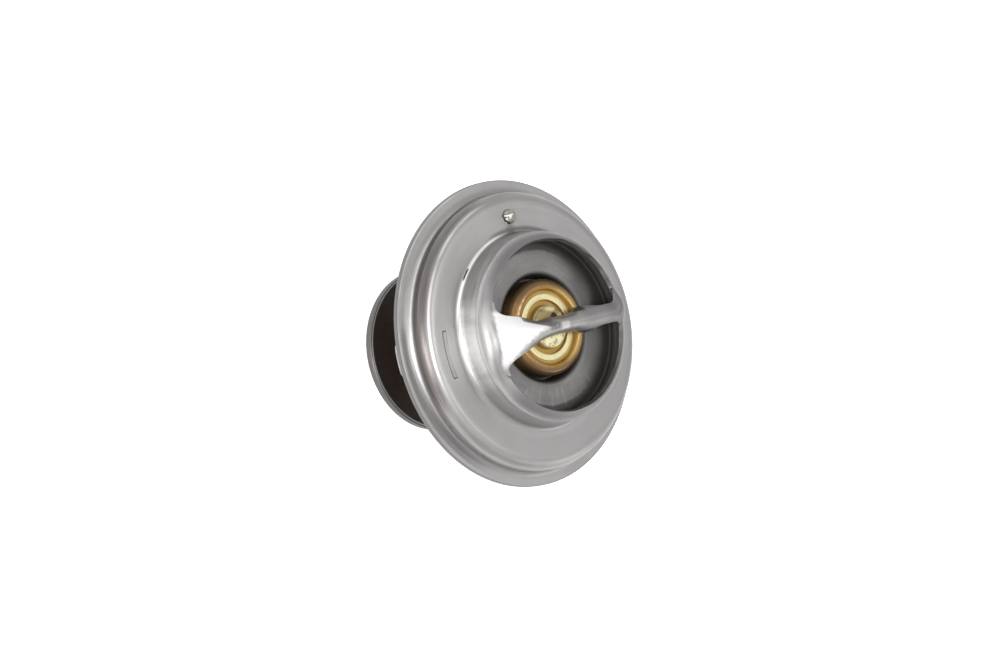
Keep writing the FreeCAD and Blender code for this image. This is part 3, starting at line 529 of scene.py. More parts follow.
# %% Marks on the bracket, the jiggle pin and the valve plate
def leg_marks(finish):
    """bright and dark streaks down the bracket's legs, where the press drew them"""
    x, y, z, radius = finish.x, finish.y, finish.z, finish.radius
    streaks = finish.noise(finish.vector(x * 0.1, y * 2.6, z * 0.35), 1.0, 3.0, 0.6)
    leg = finish.ramp(radius * radius, 500.0, 560.0) * finish.ramp(z, -7.5, -9.5)
    finish.paint(leg * finish.ramp(streaks, 0.45, 0.3) * 0.8, (0.09, 0.085, 0.08))
    finish.paint(leg * finish.ramp(streaks, 0.58, 0.68) * 0.6, (0.60, 0.59, 0.57))


def pin_marks(finish):
    """painted shadow in the gaps round the hammered head, a painted highlight across it, and
    painted shade on the shank
    """
    across, along, z = finish.x - VENT.x, finish.y - VENT.y, finish.z
    ramp, band, paint = finish.ramp, finish.band, finish.paint
    reach = finish.reach(VENT.x, VENT.y)
    rim = ramp(reach, 1.15, 1.35) * ramp(z, 7.05, 6.85)
    # painted shadow in the gaps round the head
    gap_shadow = ramp((across + along) / reach, -1.0, -1.25)
    gap_shadow = gap_shadow.top(ramp(along / reach, 0.9, 0.97))
    gap_shadow = gap_shadow.top(ramp((across * 0.8 - along * 0.6) / reach, 0.88, 0.95))
    paint(rim * gap_shadow, (0.02, 0.019, 0.018))
    # painted highlight across the head
    streak = band(along - across * 0.12, 0.15, 0.5, 0.12) * ramp(across, 0.9, 0.4)
    paint(streak * ramp(z, 6.7, 6.9), (0.97, 0.96, 0.94))
    # painted shade on the shank and ball below the face
    paint(ramp(z, 6.6, 6.35) * 0.9, (0.06, 0.056, 0.053))


def plate_marks(finish):
    """painted shade on the valve plate towards +X, by its pocket and outwards, a painted highlight
    on its edge, and radial scuffs low down
    """
    x, y, radius = finish.x, finish.y, finish.radius
    ramp, band, paint = finish.ramp, finish.band, finish.paint
    cloud = finish.noise(finish.spot, 0.3, 3.0)
    right = ramp(x, 4.0, 12.0)
    # painted shadow on the plate's outer zone by the seat
    outer = ramp(radius + cloud * 0.8, 16.9, 17.6) * (1.0 - right)
    outer = outer + ramp(radius + cloud * 0.8, 15.0, 18.4, 0.0, 0.85) * right
    # painted shade on the plate towards +X
    paint(ramp(x + cloud * 3.0, 8.0, 16.0) * 0.55, (0.075, 0.072, 0.07))
    paint(outer * 0.9, (0.062, 0.057, 0.055))
    # painted shade by the pocket round the element
    paint(ramp(radius, 12.6, 11.6) * 0.9, (0.05, 0.046, 0.044))
    # painted highlight on the plate's rounded edge
    paint(band(radius, 19.0, 19.6, 0.12), (0.16, 0.15, 0.145))
    scuffs = finish.vector(x / radius * 14.0, y / radius * 14.0, radius * 0.12)
    scuffs = ramp(finish.noise(scuffs, 1.0, 3.0), 0.52, 0.66)
    low = ramp(y, -11.0, -13.0) * band(radius, 13.5, 17.0, 0.8)
    paint(low * scuffs * 0.35, (0.36, 0.35, 0.34))


flange_steel = steel(
    "flange_steel", (0.35, 0.341, 0.339), (0.31, 0.301, 0.299), 0.42, 0.08, flange_marks
)
# the valve plate's steel is painted darker than the flange's, as shade deep in the neck
plate_steel = steel(
    "plate_steel", (0.22, 0.213, 0.21), (0.15, 0.145, 0.143), 0.46, 0.14, plate_marks
)
bracket_steel = steel(
    "bracket_steel", (0.31, 0.30, 0.29), (0.24, 0.23, 0.22), 0.36, 0.08, leg_marks
)
spring_steel = steel("spring_steel", (0.30, 0.295, 0.30), (0.23, 0.225, 0.23), 0.33, 0.05)
bright_steel = steel("bright_steel", (0.62, 0.60, 0.58), (0.48, 0.46, 0.44), 0.28, 0.05)
pin_steel = steel("pin_steel", (0.56, 0.54, 0.49), (0.26, 0.25, 0.22), 0.34, 0.4, pin_marks)
print("steels ready")


# %% Brass and the dark plate
def dark_plate():
    """bypass plate: brown black face painted as shade and a dark reflection, a grey band at the
    rim and a painted highlight on the edge
    """
    finish = Finish("dark_plate", 0.9)
    ramp, radius, paint = finish.ramp, finish.radius, finish.paint
    grain = finish.noise(finish.spot, 1.1, 5.0, 0.65)
    broad = finish.noise(finish.spot, 0.12, 2.0)
    # the face painted brown black as shade and a dark reflection
    finish.base = finish.colour(grain, (0.034, 0.030, 0.028), (0.080, 0.072, 0.068))
    paint(ramp(broad, 0.45, 0.7) * 0.8, (0.062, 0.040, 0.032))
    paint(ramp(radius + grain * 0.3, 17.2, 17.5), (0.062, 0.06, 0.058))
    paint(ramp(radius, 17.85, 17.95), (0.115, 0.11, 0.105))
    # painted highlight along the front edge
    edge = finish.band(finish.z - radius, -44.85, -44.55, 0.12) * ramp(radius, 17.4, 17.6)
    paint(edge, (0.34, 0.33, 0.32))
    return finish.complete(grain, 0.36, 0.52, grain, 0.12, 0.05)


def brass(name, light, dark, rough, scratch, marks):
    """brass with turning marks and a thin tarnish in its hollows"""
    finish = Finish(name, 0.75)
    rings = finish.rings(2.5, 1.6)
    cloud = finish.noise(finish.spot, 0.45, 4.0, 0.6)
    tone = finish.ramp(cloud * 0.6 + rings * 0.4, 0.34, 0.66)
    finish.base = finish.colour(tone, dark, light)
    marks(finish)
    return finish.complete(rings, rough - 0.05, rough + 0.06, rings, scratch, 0.03)


def lip_marks(finish):
    """deep amber on the inside of the rolled lip, painted light on its +X side and outer wall,
    painted shade in brown on its outside towards +Y and -Y, and a pink painted highlight in an arc
    """
    x, y, z, radius, ramp, band, paint = finish.kit
    # painted light on the lip's +X side
    paint(ramp(x, 1.0, 9.0) * 0.8, (0.50, 0.345, 0.13))
    # painted light on the lip's outer wall
    paint(ramp(radius, 9.9, 10.4) * ramp(z, 5.0, 6.0), (0.55, 0.36, 0.17))
    shade = ramp(radius, 8.8, 9.3) * ramp(abs(y) / radius, 0.45, 0.9)
    paint(shade * ramp(x, 4.0, 9.0, 1.0, 0.3) * 0.9, (0.17, 0.11, 0.055))
    specks = finish.noise(finish.spot, 1.6, 3.0, 0.6)
    # pink painted highlight in an arc on the lip
    arc = band(radius, 8.7, 9.1, 0.15) * ramp((y * 0.5 - x * 0.85) / radius, 0.86, 0.96)
    arc = arc * ramp(z, 10.0, 10.4) * ramp(specks, 0.4, 0.55, 0.2, 1.0)
    paint(arc * 0.8, (0.90, 0.60, 0.40))
    inside = ramp(radius, 8.7, 8.35) * ramp(z, 10.0, 10.3)
    paint(inside, (0.36, 0.20, 0.03))
    # painted light on the lip's inside towards +X
    paint(inside * ramp(x, 2.0, 5.0) * 0.8, (0.60, 0.42, 0.15))


def cover_marks(finish):
    """amber steps and grooves round the pale ring and boss, painted light on their +X side, pits
    on the boss, and painted shade where the pin's bore shows
    """
    x, y, radius = finish.x, finish.y, finish.radius
    ramp, band, paint = finish.ramp, finish.band, finish.paint
    amber = band(radius, 4.7, 5.9, 0.08).top(ramp(radius, 7.3, 7.5))
    paint(amber, (0.36, 0.225, 0.055))
    # painted light on the amber steps towards +X
    paint(amber * ramp(x, 1.0, 5.0) * 0.7, (0.62, 0.44, 0.16))
    paint(ramp(radius, 4.6, 4.4) * 0.35, (0.88, 0.83, 0.60))
    boss = ramp(radius, 4.7, 4.4)
    facets = finish.noise(finish.vector(x * 0.7, y * 1.4, finish.z), 0.42, 2.0, 0.4)
    facets = ramp(y, 0.8, 2.2) * ramp(facets, 0.38, 0.52, 0.35, 1.0)
    paint(facets * boss, (0.29, 0.23, 0.10))
    # painted shade where the pin's bore shows
    paint(ramp(finish.reach(1.4, 1.9), 1.1, 0.8), (0.03, 0.02, 0.012))
    pits = ramp(finish.noise(finish.spot, 0.9, 5.0, 0.75), 0.47, 0.40)
    paint(pits * boss * 0.7, (0.14, 0.10, 0.045))


def plain(name, base, shade, rough):
    """matt finish with a faint grain, for the rubber, the wax and the slip washer"""
    finish = Finish(name)
    grain = finish.noise(finish.spot, 1.5, 4.0)
    finish.base = finish.colour(grain, shade, base)
    return finish.complete(grain, rough - 0.06, rough + 0.06, grain, 0.1, 0.03)


bypass_finish = dark_plate()
cup_brass = brass("cup_brass", (0.35, 0.20, 0.08), (0.25, 0.14, 0.05), 0.34, 0.06, lip_marks)
cover_brass = brass("cover_brass", (0.74, 0.67, 0.39), (0.66, 0.58, 0.32), 0.4, 0.03, cover_marks)
sleeve_rubber = plain("sleeve_rubber", (0.035, 0.035, 0.036), (0.02, 0.02, 0.02), 0.75)
pellet_wax = plain("pellet_wax", (0.50, 0.30, 0.14), (0.40, 0.23, 0.10), 0.6)
slip_plastic = plain("slip_plastic", (0.80, 0.78, 0.74), (0.70, 0.68, 0.64), 0.5)
print("finishes:", len(bpy.data.materials))

# %% [markdown]
# ## Turned pieces
# Most pieces are turned or deep drawn, so one outline of radii and heights, with its corners
# rounded, goes once round the axis. A smooth-by-angle shade keeps the true edges crisp.

# %% Lathe
def rounded(corners, steps=6):
    """outline through corners (radius, height) or (radius, height, bend), closed"""
    out = []
    for index, corner in enumerate(corners):
        point = Vector(corner[:2])
        if len(corner) == 2 or corner[2] <= 0:
            out.append(point)
            continue
        before = Vector(corners[index - 1][:2])
        after = Vector(corners[(index + 1) % len(corners)][:2])
        inward = (before - point).normalized()
        outward = (after - point).normalized()
        half = inward.angle(outward) / 2
        centre = point + (inward + outward).normalized() * (corner[2] / math.sin(half))
        first = point + inward * (corner[2] / math.tan(half)) - centre
        last = point + outward * (corner[2] / math.tan(half)) - centre
        sweep = first.angle_signed(last)
        for step in range(steps + 1):
            spoke = first.copy()
            spoke.rotate(Matrix.Rotation(-sweep * step / steps, 2))
            out.append(centre + spoke)
    return out


def make_object(name, verts, faces, crease=35):
    """mesh object in metres from points in millimetres, smooth but for its edges"""
    mesh = bpy.data.meshes.new(name)
    mesh.from_pydata([Vector(vert) * MM for vert in verts], [], faces)
    shape = bmesh.new()
    shape.from_mesh(mesh)
    bmesh.ops.remove_doubles(shape, verts=shape.verts, dist=1e-7)
    bmesh.ops.recalc_face_normals(shape, faces=shape.faces)
    shape.to_mesh(mesh)
    shape.free()
    mesh.shade_smooth()
    mesh.set_sharp_from_angle(angle=math.radians(crease))
    return add_object(name, mesh)


def turned(name, corners, sides=128):
    """closed outline turned once round the axis"""
    outline = rounded(corners)
    count = len(outline)
    verts = []
    for side in range(sides):
        turn = 2 * math.pi * side / sides
        verts += [(p.x * math.cos(turn), p.x * math.sin(turn), p.y) for p in outline]
    faces = []
    for side in range(sides):
        here, there = side * count, (side + 1) % sides * count
        for index in range(count):
            after = (index + 1) % count
            if outline[index].x < 1e-6 and outline[after].x < 1e-6:
                continue
            faces.append((here + index, here + after, there + after, there + index))
    return make_object(name, verts, faces)


def evaluated(piece):
    """apply all of a piece's modifiers to its own mesh"""
    result = bpy.data.meshes.new_from_object(
        piece.evaluated_get(bpy.context.evaluated_depsgraph_get())
    )
    piece.modifiers.clear()
    piece.data = result
    return piece


def coat(piece, finish):
    """one finish for the whole of a piece"""
    piece.data.materials.clear()
    piece.data.materials.append(finish.material)


def dress(piece, body, finish, node):
    """give a piece its finish and body, and let it stand for its CAD node"""
    coat(piece, finish)
    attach(piece, body)
    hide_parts(node)
    print(f"{piece.name}: {len(piece.data.polygons)} faces on {body}")
    return piece


# %% [markdown]
# ## The wax element
# The element's head sits in the pocket of the valve plate. A lip is rolled in over the cover,
# which has a raised ring, a groove and a low boss with the pin's hole. The cup hangs below.

# %% Valve plate, cup, cover and pin
valve_plate = turned("valve_plate_pressing", [
    (8.55, 5.3), (12.1, 5.3, 0.9), (12.1, 8.8, 0.4), (20.02, 8.8), (20.02, 9.7, 0.3),
    (11.2, 9.7, 1.3), (11.2, 6.2, 0.3), (8.55, 6.2),
], 160)
dress(valve_plate, "element", plate_steel, "valve_plate")

cup = turned("drawn_cup", [
    (1.5, -16), (8.5, -16, 1.0), (8.5, 6.2), (10.5, 6.2, 0.6), (10.5, 11.7, 1.5),
    (8.0, 11.7, 0.6), (8.0, 10.6), (9.4, 10.6), (9.4, 7.5), (7.4, 7.5), (7.4, -14, 1.0),
    (0, -14), (0, -14.8), (1.5, -14.8),
])
dress(cup, "element", cup_brass, "wax_cup")

cover = turned("turned_cover", [
    (1.8, 9.0), (5.55, 9.0), (5.55, 7.5), (9.35, 7.5), (9.35, 10.6), (7.35, 10.6),
    (7.35, 10.9, 0.25), (5.85, 10.9, 0.25), (5.85, 10.2), (4.7, 10.2, 0.25),
    (4.7, 12.1, 0.7), (1.8, 12.1, 0.2),
])
dress(cover, "element", cover_brass, "guide_cover")

pin = turned("ground_pin", [
    (0, -8), (1.75, -8, 0.45), (1.75, 12.16), (0.62, 13.36), (0.62, 15.0, 0.55), (0, 15.0),
], 48)
dress(pin, "frame", bright_steel, "piston_pin")
for node, finish in (
    ("rubber_sleeve", sleeve_rubber), ("wax_charge", pellet_wax), ("slip_washer", slip_plastic),
    ("stop_washer", bright_steel), ("retaining_ring", spring_steel), ("bypass_stem", bright_steel),
):
    coat(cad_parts[node], finish)

# %% [markdown]
# ## The lower bracket
# A strip bent into a stirrup carries the spring and guides the cup. Its outline is turned
# about the axis first, and a cutter in the strip's shape keeps the two legs and the web.

# %% Lower bracket
def circle(radius, sides, middle=(0, 0)):
    """points round a circle, in plan"""
    turns = [2 * math.pi * step / sides for step in range(sides)]
    x, y = middle
    return [(x + radius * math.cos(turn), y + radius * math.sin(turn)) for turn in turns]


def prism(name, outline, place):
    """solid over an outline; place turns (across, along, deep) into a point"""
    count = len(outline)
    verts = [place(*point, deep) for deep in (0, 1) for point in outline]
    faces = [tuple(range(count))[::-1], tuple(range(count, 2 * count))]
    faces += [(i, (i + 1) % count, (i + 1) % count + count, i + count) for i in range(count)]
    return make_object(name, verts, faces)


def combine(piece, other, operation):
    """boolean of a piece with another, which is used up"""
    step = piece.modifiers.new(other.name, "BOOLEAN")
    step.operation = operation
    step.object = other
    step.solver = "EXACT"
    evaluated(piece)
    bpy.data.objects.remove(other)
    return piece


def soften(piece, width, angle=50):
    """break the sharp edges of a pressed piece"""
    piece.data.set_sharp_from_angle(angle=math.radians(angle))
    edge = piece.modifiers.new("edge", "BEVEL")
    edge.width = width * MM
    edge.segments = 2
    edge.limit_method = "ANGLE"
    edge.angle_limit = math.radians(angle + 10)
    return evaluated(piece)


SLOT_TURN = 3
LEG_SHAPE = rounded([
    (5.0, 6.45), (5.0, 5.6, 0.2), (5.4, 5.6, 0.2), (5.4, -8.6, 2.0), (3.6, -10.4, 1.5),
    (2.8, -16.0), (-1.4, -16.0), (-1.4, -11.2, 1.5), (-3.4, -8.9, 3.0), (-5.4, -3.5, 1.5),
    (-5.4, 5.6, 0.2), (-5.0, 5.6, 0.2), (-5.0, 6.45),
])


def leg_place(side):
    """puts the leg's outline on one side of the axis, from 9 mm out to 27 mm"""
    turn = math.radians(SLOT_TURN)

    def place(across, height, deep):
        x, y = side * (9 + 18 * deep), -side * across
        return (
            x * math.cos(turn) - y * math.sin(turn),
            x * math.sin(turn) + y * math.cos(turn),
            height,
        )
    return place


bracket = turned("pressed_bracket", [
    (24.65, 6.45), (24.65, -11.0, 2.3), (8.58, -11.0, 1.2), (8.58, -14.6),
    (9.58, -14.6), (9.58, -12.0, 0.5), (25.65, -12.0, 3.3), (25.65, 6.45),
], 192)
kept = prism("kept", circle(15.2, 96), lambda x, y, deep: (x, y, -17 + 8 * deep))
for side in (1, -1):
    combine(kept, prism("leg", [(p.x, p.y) for p in LEG_SHAPE], leg_place(side)), "UNION")
combine(bracket, kept, "INTERSECT")
dress(soften(bracket, 0.12), "frame", bracket_steel, "lower_bracket")

# %% [markdown]
# ## The jiggle pin
# A loose pin lets air through the vent hole. Its head was hammered into a lump that nearly
# fills the hole, and a ball below keeps it in. Simple shapes overlap, a voxel remesh makes
# one skin of them, and a few waves make the head uneven.

# %% Jiggle pin
BALL_RADIUS = 2.0


def lump(shape, middle, radii, tilt=0.0):
    """ball drawn out to three radii, in millimetres, added to a mesh"""
    turn = Matrix.Rotation(math.radians(tilt), 4, "Z")
    size = Matrix.Diagonal((*radii, 1))
    bmesh.ops.create_icosphere(
        shape, subdivisions=4, radius=1, matrix=Matrix.Translation(middle) @ turn @ size
    )


def hammered_pin():
    """head, blade, shank and ball of the jiggle pin as one skin"""
    shape = bmesh.new()
    lump(shape, (0.3, 0.0, 6.82), (1.55, 1.5, 0.62), 20)
    lump(shape, (-0.75, 0.2, 7.0), (1.0, 0.4, 0.42), -12)
    lump(shape, (-0.55, 0.85, 6.75), (0.85, 0.6, 0.45), 30)
    lump(shape, (-0.1, -0.6, 6.6), (1.2, 0.95, 0.4), -20)
    lump(shape, (0.0, 0.0, 5.6), (0.9, 0.9, 1.5))
    lump(shape, (0.0, 0.0, BALL_HEIGHT), (BALL_RADIUS, BALL_RADIUS, BALL_RADIUS))
    for vert in shape.verts:
        x, y, z = vert.co
        if z > 6.3:
            vert.co.z += 0.05 * math.sin(2.6 * x + 1.3) * math.cos(2.2 * y)
    shape.transform(Matrix.Translation(VENT))
    shape.transform(Matrix.Scale(MM, 4))
    mesh = bpy.data.meshes.new("hammered_pin")
    shape.to_mesh(mesh)
    shape.free()
    piece = add_object("hammered_pin", mesh)
    skin = piece.modifiers.new("skin", "REMESH")
    skin.mode = "VOXEL"
    skin.voxel_size = 0.11 * MM
    skin.use_smooth_shade = True
    return evaluated(piece)


BALL_HEIGHT = round(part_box("jiggle_pin")[0][2] / MM, 3) + BALL_RADIUS
dress(hammered_pin(), "jiggle", pin_steel, "jiggle_pin")

# %% [markdown]
# ## The springs
# A node tree winds each spring. A spiral gives the turns, and its height is set again so that
# the coils lie close at both ends, as closed ends do. A circle swept along it is the wire.

# %% Springs
class Winder(Graph):
    """geometry node group for a spring with closed ends"""

    def __init__(self):
        super().__init__(bpy.data.node_groups.new("spring_winder", "GeometryNodeTree"))
        face = self.tree.interface
        face.new_socket("Geometry", in_out="OUTPUT", socket_type="NodeSocketGeometry")
        self.named = {}
        numbers = ("Turns", "Low Radius", "Top Radius", "Foot", "Close Rise", "Open Rise", "Wire")
        for name in numbers:
            row = face.new_socket(name, in_out="INPUT", socket_type="NodeSocketFloat")
            self.named[name] = row.identifier
        row = face.new_socket("Finish", in_out="INPUT", socket_type="NodeSocketMaterial")
        self.named["Finish"] = row.identifier
        self.wind()

    def wind(self):
        """spiral, its new heights, the swept wire and its finish"""
        given = self.tree.nodes.new("NodeGroupInput")
        ask = {name: Value(self, given.outputs[name]) for name in self.named}
        spiral = self.node(
            "GeometryNodeCurveSpiral", {}, 64, ask["Turns"], ask["Low Radius"], ask["Top Radius"]
        )
        share = self.node("GeometryNodeSplineParameter", {})
        place = self.tree.nodes.new("GeometryNodeInputPosition")
        parts = self.node("ShaderNodeSeparateXYZ", {}, Value(self, place.outputs[0]))
        flat = [Value(self, parts.socket.node.outputs[axis]) for axis in range(2)]
        height = ask["Foot"] + ask["Close Rise"] * share
        height = height + ask["Open Rise"] * self.ramp(share, 0.12, 0.88)
        lifted = self.vector(*flat, height)
        coil = self.node("GeometryNodeSetPosition", {}, Geometry=spiral, Position=lifted)
        ring = self.node("GeometryNodeCurvePrimitiveCircle", {}, Resolution=16, Radius=ask["Wire"])
        wire = self.node("GeometryNodeCurveToMesh", {}, coil, ring, Fill_Caps=True)
        made = self.node("GeometryNodeRealizeInstances", {}, wire)
        made = self.node("GeometryNodeSetMaterial", {}, Geometry=made, Material=ask["Finish"])
        result = self.tree.nodes.new("NodeGroupOutput")
        self.tree.links.new(made.socket, result.inputs[0])


winder = Winder()


def spring(name, node, body, **given):
    """wind one spring, and let it stand for its CAD node"""
    piece = add_object(name, bpy.data.meshes.new(name))
    coil = piece.modifiers.new("winder", "NODES")
    coil.node_group = winder.tree
    for key, number in given.items():
        coil[winder.named[key.replace("_", " ")]] = number
    coil[winder.named["Finish"]] = spring_steel.material
    evaluated(piece)
    piece.data.shade_smooth()
    piece.data.set_sharp_from_angle(angle=math.radians(60))
    return dress(piece, body, spring_steel, node)


def rises(low, top, wire, turns):
    """foot of the wire's line, and its rise shared between closed and open coils"""
    close = wire * turns
    return {"Foot": (low + wire / 2) * MM, "Close_Rise": close * MM,
            "Open_Rise": (top - low - wire - close) * MM, "Wire": wire / 2 * MM}


main_coil = spring(
    "main_coil", "main_spring", "frame", Turns=4.5,
    Low_Radius=13.95 * MM, Top_Radius=13.95 * MM, **rises(-11.0, 8.8, 2.2, 4.5),
)
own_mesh(main_coil)
bypass_coil = spring(
    "bypass_coil", "bypass_spring", "element", Turns=4.5,
    Low_Radius=7.7 * MM, Top_Radius=5.4 * MM, **rises(-27.0, -16.0, 1.2, 4.5),
)
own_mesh(bypass_coil)

# %% [markdown]
# ## The bypass plate
# It is a shallow dish with a raised centre and a turned down skirt, and slides on its stem.

# %% Bypass plate
bypass = turned("bypass_pressing", [
    (2.58, -26.4), (5.5, -26.4, 0.25), (5.5, -27.9, 0.7), (17.1, -27.9, 0.23), (17.1, -29),
    (18.0, -29, 0.1), (18.0, -27, 0.7), (6.4, -27, 0.25), (6.4, -25.5, 0.7), (2.58, -25.5),
], 160)
dress(bypass, "bypass", bypass_finish, "bypass_plate")

# %% [markdown]
# ## The flange and its bridge strap
# One blank makes the rim, the wall, the neck and the strap, so one skin carries them here too.
# A ring of profiles goes round the axis. Where the strap leaves the neck the shoulder is
# raised, and the strap's rows start on the same points, so no seam shows. The skin then gets
# the sheet's thickness inwards.

# %% Flange skin
# radii of rim, wall, neck and windows, then heights of face, crown and the strap's rise
RIM, WALL, NECK, OPENING = 33.5, 30.4, 20.75, 18.67
FACE, CROWN, STRAP_RISE = 6.5, 14.66, 1.19
DOME_BEND = 3.05
COLUMNS = 33


def neck_radius(height):
    """outside of the tapered neck at a height"""
    return NECK + (CREASE - height) * LEAN


def dome_centre(rise):
    """centre of the shoulder's round where the dome is raised"""
    height = CROWN + rise - DOME_BEND
    return Vector((neck_radius(height) - DOME_BEND / math.cos(LEAN_TURN), height))


def ring_profile(rise):
    """outside of the pressing from the rim's edge up to the window's edge"""
    low = rounded([
        (RIM, SHEET), (WALL, SHEET, 1.4), (WALL, FACE, 2.6), (neck_radius(FACE), FACE, 1.2),
        (neck_radius(9), 9),
    ], 8)
    line = [low[0]]
    for before, after in zip(low, low[1:]):
        cuts = max(1, round((after - before).length / 0.8))
        line += [before.lerp(after, cut / cuts) for cut in range(1, cuts + 1)]
    centre = dome_centre(rise)
    first = LEAN_TURN
    last = math.acos((OPENING - centre.x) / DOME_BEND)
    start = centre + DOME_BEND * Vector((math.cos(first), math.sin(first)))
    line += [line[-1].lerp(start, (cut + 1) / 8) for cut in range(7)]
    for step in range(13):
        turn = first + (last - first) * step / 12
        line.append(centre + DOME_BEND * Vector((math.cos(turn), math.sin(turn))))
    return line


def rise_at(lateral, half):
    """how far the dome is raised beside the strap's ridge"""
    return STRAP_RISE * max(0.0, 1 - (lateral / half) ** 2) ** 2


def dome_height(radius, rise):
    """height of the raised dome, or of its flat top, at a radius"""
    centre = dome_centre(rise)
    over = max(0.0, radius - centre.x)
    return centre.y + math.sqrt(DOME_BEND ** 2 - min(over, DOME_BEND) ** 2)


# each station: place of the ridge, place of the edge, half width, fold share, fall of the
# edge, and how far the strap lies towards -Y
NEAR = [
    (18.67, 16.75, 8.25, 0.0, 0.0, 0.5), (18.2, 16.85, 7.5, 0.0, 0.0, 0.5),
    (17.5, 16.8, 6.5, 0.0, 0.0, 0.5), (16.7, 16.3, 5.75, 0.03, 0.05, 0.5),
    (15.0, 14.9, 4.95, 0.06, 0.15, 0.5), (13.1, 13.1, 4.4, 0.1, 0.3, 0.42),
    (11.1, 11.1, 3.85, 0.2, 0.5, 0.35), (9.2, 9.2, 3.35, 0.38, 0.9, 0.32),
    (7.2, 7.2, 2.75, 0.7, 1.5, 0.4), (5.2, 5.2, 2.25, 0.9, 2.0, 0.38),
    (3.3, 3.3, 2.0, 1.0, 2.2, 0.25), (1.5, 1.5, 1.95, 1.0, 2.2, 0.12),
    (0.0, 0.0, 1.92, 1.0, 2.2, 0.05),
]
FAR = [
    (18.67, 17.9, 4.2, 0.0, 0.0, -1.2), (18.2, 17.5, 3.7, 0.0, 0.0, -0.95),
    (17.7, 17.2, 3.1, 0.05, 0.1, -0.65), (17.1, 16.9, 2.45, 0.15, 0.3, -0.3),
    (16.3, 16.2, 2.12, 0.3, 0.5, -0.1), (14.4, 14.4, 2.1, 0.35, 0.6, -0.05),
    (12.7, 12.7, 2.15, 0.35, 0.65, -0.05), (10.9, 10.9, 2.45, 0.35, 0.8, -0.05),
    (9.4, 9.4, 2.8, 0.45, 1.1, 0.0), (8.1, 8.1, 2.9, 0.6, 1.5, 0.05),
    (6.6, 6.6, 2.65, 0.85, 1.9, -0.05), (5.4, 5.4, 2.15, 0.95, 2.1, 0.05),
    (4.0, 4.0, 1.95, 1.0, 2.2, 0.12), (2.0, 2.0, 1.92, 1.0, 2.2, 0.08),
    (0.0, 0.0, 1.92, 1.0, 2.2, 0.05),
]


def smooth_rows(stations, cuts=5):
    """stations with evenly spread rows between them, on a smooth curve through all"""
    rows = []
    last = len(stations) - 1
    for index in range(last):
        a, b, c, d = (
            stations[max(0, min(last, index + shift))] for shift in (-1, 0, 1, 2)
        )
        for cut in range(cuts):
            t = cut / cuts
            rows.append([
                0.5 * (2 * q + (r - p) * t + (2 * p - 5 * q + 4 * r - s) * t * t
                       + (3 * q - p - 3 * r + s) * t ** 3)
                for p, q, r, s in zip(a, b, c, d)
            ])
    return rows + [list(stations[-1])]


def strap_row(side, row, root):
    """points across the strap at one place, from the -Y edge to the +Y edge"""
    ridge, edge, half, fold, fall, drift = row
    roll = math.radians(1 + 89 * max(0.0, min(1.0, fold)))
    points = []
    for column in range(COLUMNS):
        across = 2 * column / (COLUMNS - 1) - 1
        x = ridge + (edge - ridge) * across ** 2
        y = half * math.sin(roll * across) / math.sin(roll) - drift
        top = dome_height(math.hypot(x, y), rise_at(y + drift, root))
        down = fall * (1 - math.cos(roll * across)) / (1 - math.cos(roll))
        points.append((side * x, y, top - down))
    return points


def ring_turns():
    """directions round the axis, close together where a root is, starting at the far root"""
    spread = [2 * column / (COLUMNS - 1) - 1 for column in range(COLUMNS)]
    far = [math.asin((FAR[0][2] * share - FAR[0][5]) / OPENING) for share in spread]
    near = [math.pi + math.asin((NEAR[0][2] * share + NEAR[0][5]) / OPENING) for share in spread]
    turns = far[:]
    for start, end in ((far[-1], near[0]), (near[-1], 2 * math.pi + far[0])):
        count = round((end - start) / math.radians(1.5))
        turns += [start + (end - start) * step / count for step in range(1, count)]
        if end == near[0]:
            turns += near
    return turns


def ragged(turn):
    """small nicks the press tore in the window's edge, most of them towards +X"""
    much = 0.05 + 0.15 * max(0.0, math.cos(turn - 0.5)) ** 2
    return much * (math.sin(11 * turn + 1) + 0.6 * math.sin(27 * turn))


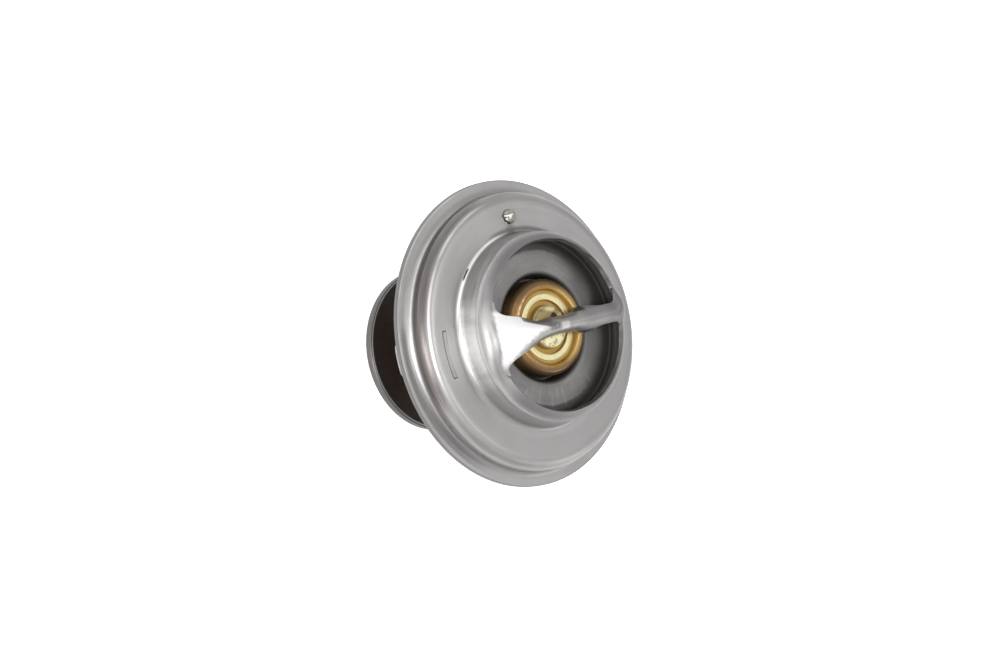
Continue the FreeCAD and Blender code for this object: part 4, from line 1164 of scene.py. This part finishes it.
def flange_skin():
    """one open skin for the ring and the strap, with shared points at both roots"""
    turns = ring_turns()
    verts, faces = [], []
    for turn in turns:
        root = FAR[0] if math.cos(turn) > 0 else NEAR[0]
        lateral = OPENING * math.sin(turn) + root[5]
        line = ring_profile(rise_at(lateral, root[2]))
        clear = min(1.0, max(0.0, abs(lateral) - root[2] - 1.2) / 4.0)
        for back in (1, 2, 3):
            line[-back].x += ragged(turn) * clear * (4 - back) / 3
        for point in line:
            verts.append((point.x * math.cos(turn), point.x * math.sin(turn), point.y))
    count = len(verts) // len(turns)
    for index in range(len(turns)):
        here, there = index * count, (index + 1) % len(turns) * count
        faces += [
            (here + step, there + step, there + step + 1, here + step + 1)
            for step in range(count - 1)
        ]
    near = [strap_row(-1, row, NEAR[0][2]) for row in smooth_rows(NEAR)[1:]]
    far = [strap_row(1, row, FAR[0][2]) for row in smooth_rows(FAR)[1:-1]]
    rows = near + far[::-1]
    base = len(verts)
    for row in rows:
        verts += row
    grid = [[base + line * COLUMNS + column for column in range(COLUMNS)]
            for line in range(len(rows))]
    near_start = math.pi + math.asin((NEAR[0][5] - NEAR[0][2]) / OPENING)
    first_near = min(range(len(turns)), key=lambda index: abs(turns[index] - near_start))
    near_edge = [(first_near + column) * count + count - 1 for column in range(COLUMNS)]
    far_edge = [column * count + count - 1 for column in range(COLUMNS)]
    grid = [near_edge[::-1]] + grid + [far_edge]
    for before, after in zip(grid, grid[1:]):
        faces += [
            (before[column], before[column + 1], after[column + 1], after[column])
            for column in range(COLUMNS - 1)
        ]
    return make_object("flange_pressing", verts, faces, crease=50)


flange = flange_skin()
print("skin:", len(flange.data.polygons), "faces")

# %% [markdown]
# The skin is open, so its normals are turned up by hand before it gets its thickness. Cutters
# then open the two slots for the bracket's tongues and the vent hole, and the sheet's cut
# edges are broken slightly, as any pressed edge is.

# %% Thickness, slots and vent hole
def slot_outline(middle, inner=24.72, outer=25.84, half=5.2, steps=16):
    """plan of one slot, an arc about the axis"""
    points = []
    for radius, order in ((outer, 1), (inner, -1)):
        reach = math.asin(half / radius)
        for step in range(steps + 1):
            turn = math.radians(middle) + order * (2 * step / steps - 1) * reach
            points.append((radius * math.cos(turn), radius * math.sin(turn)))
    return points


def upright(piece):
    """turn an open skin so that its faces look up and outwards"""
    shape = bmesh.new()
    shape.from_mesh(piece.data)
    bmesh.ops.recalc_face_normals(shape, faces=shape.faces)
    up = sum(face.normal.z * face.calc_area() for face in shape.faces)
    if up < 0:
        bmesh.ops.reverse_faces(shape, faces=shape.faces)
    shape.to_mesh(piece.data)
    shape.free()


upright(flange)
sheet = flange.modifiers.new("sheet", "SOLIDIFY")
sheet.thickness = SHEET * MM
sheet.offset = -1
evaluated(flange)
hole = circle(1.5, 40, VENT[:2])
near_slot, far_slot = slot_outline(180 + SLOT_TURN), slot_outline(SLOT_TURN)
for name, outline in (("near", near_slot), ("far", far_slot), ("vent", hole)):
    tool = prism(name, outline, lambda x, y, deep: (x, y, 4 + 4 * deep))
    combine(flange, tool, "DIFFERENCE")
soften(flange, 0.1)
dress(flange, "frame", flange_steel, "flange_frame")
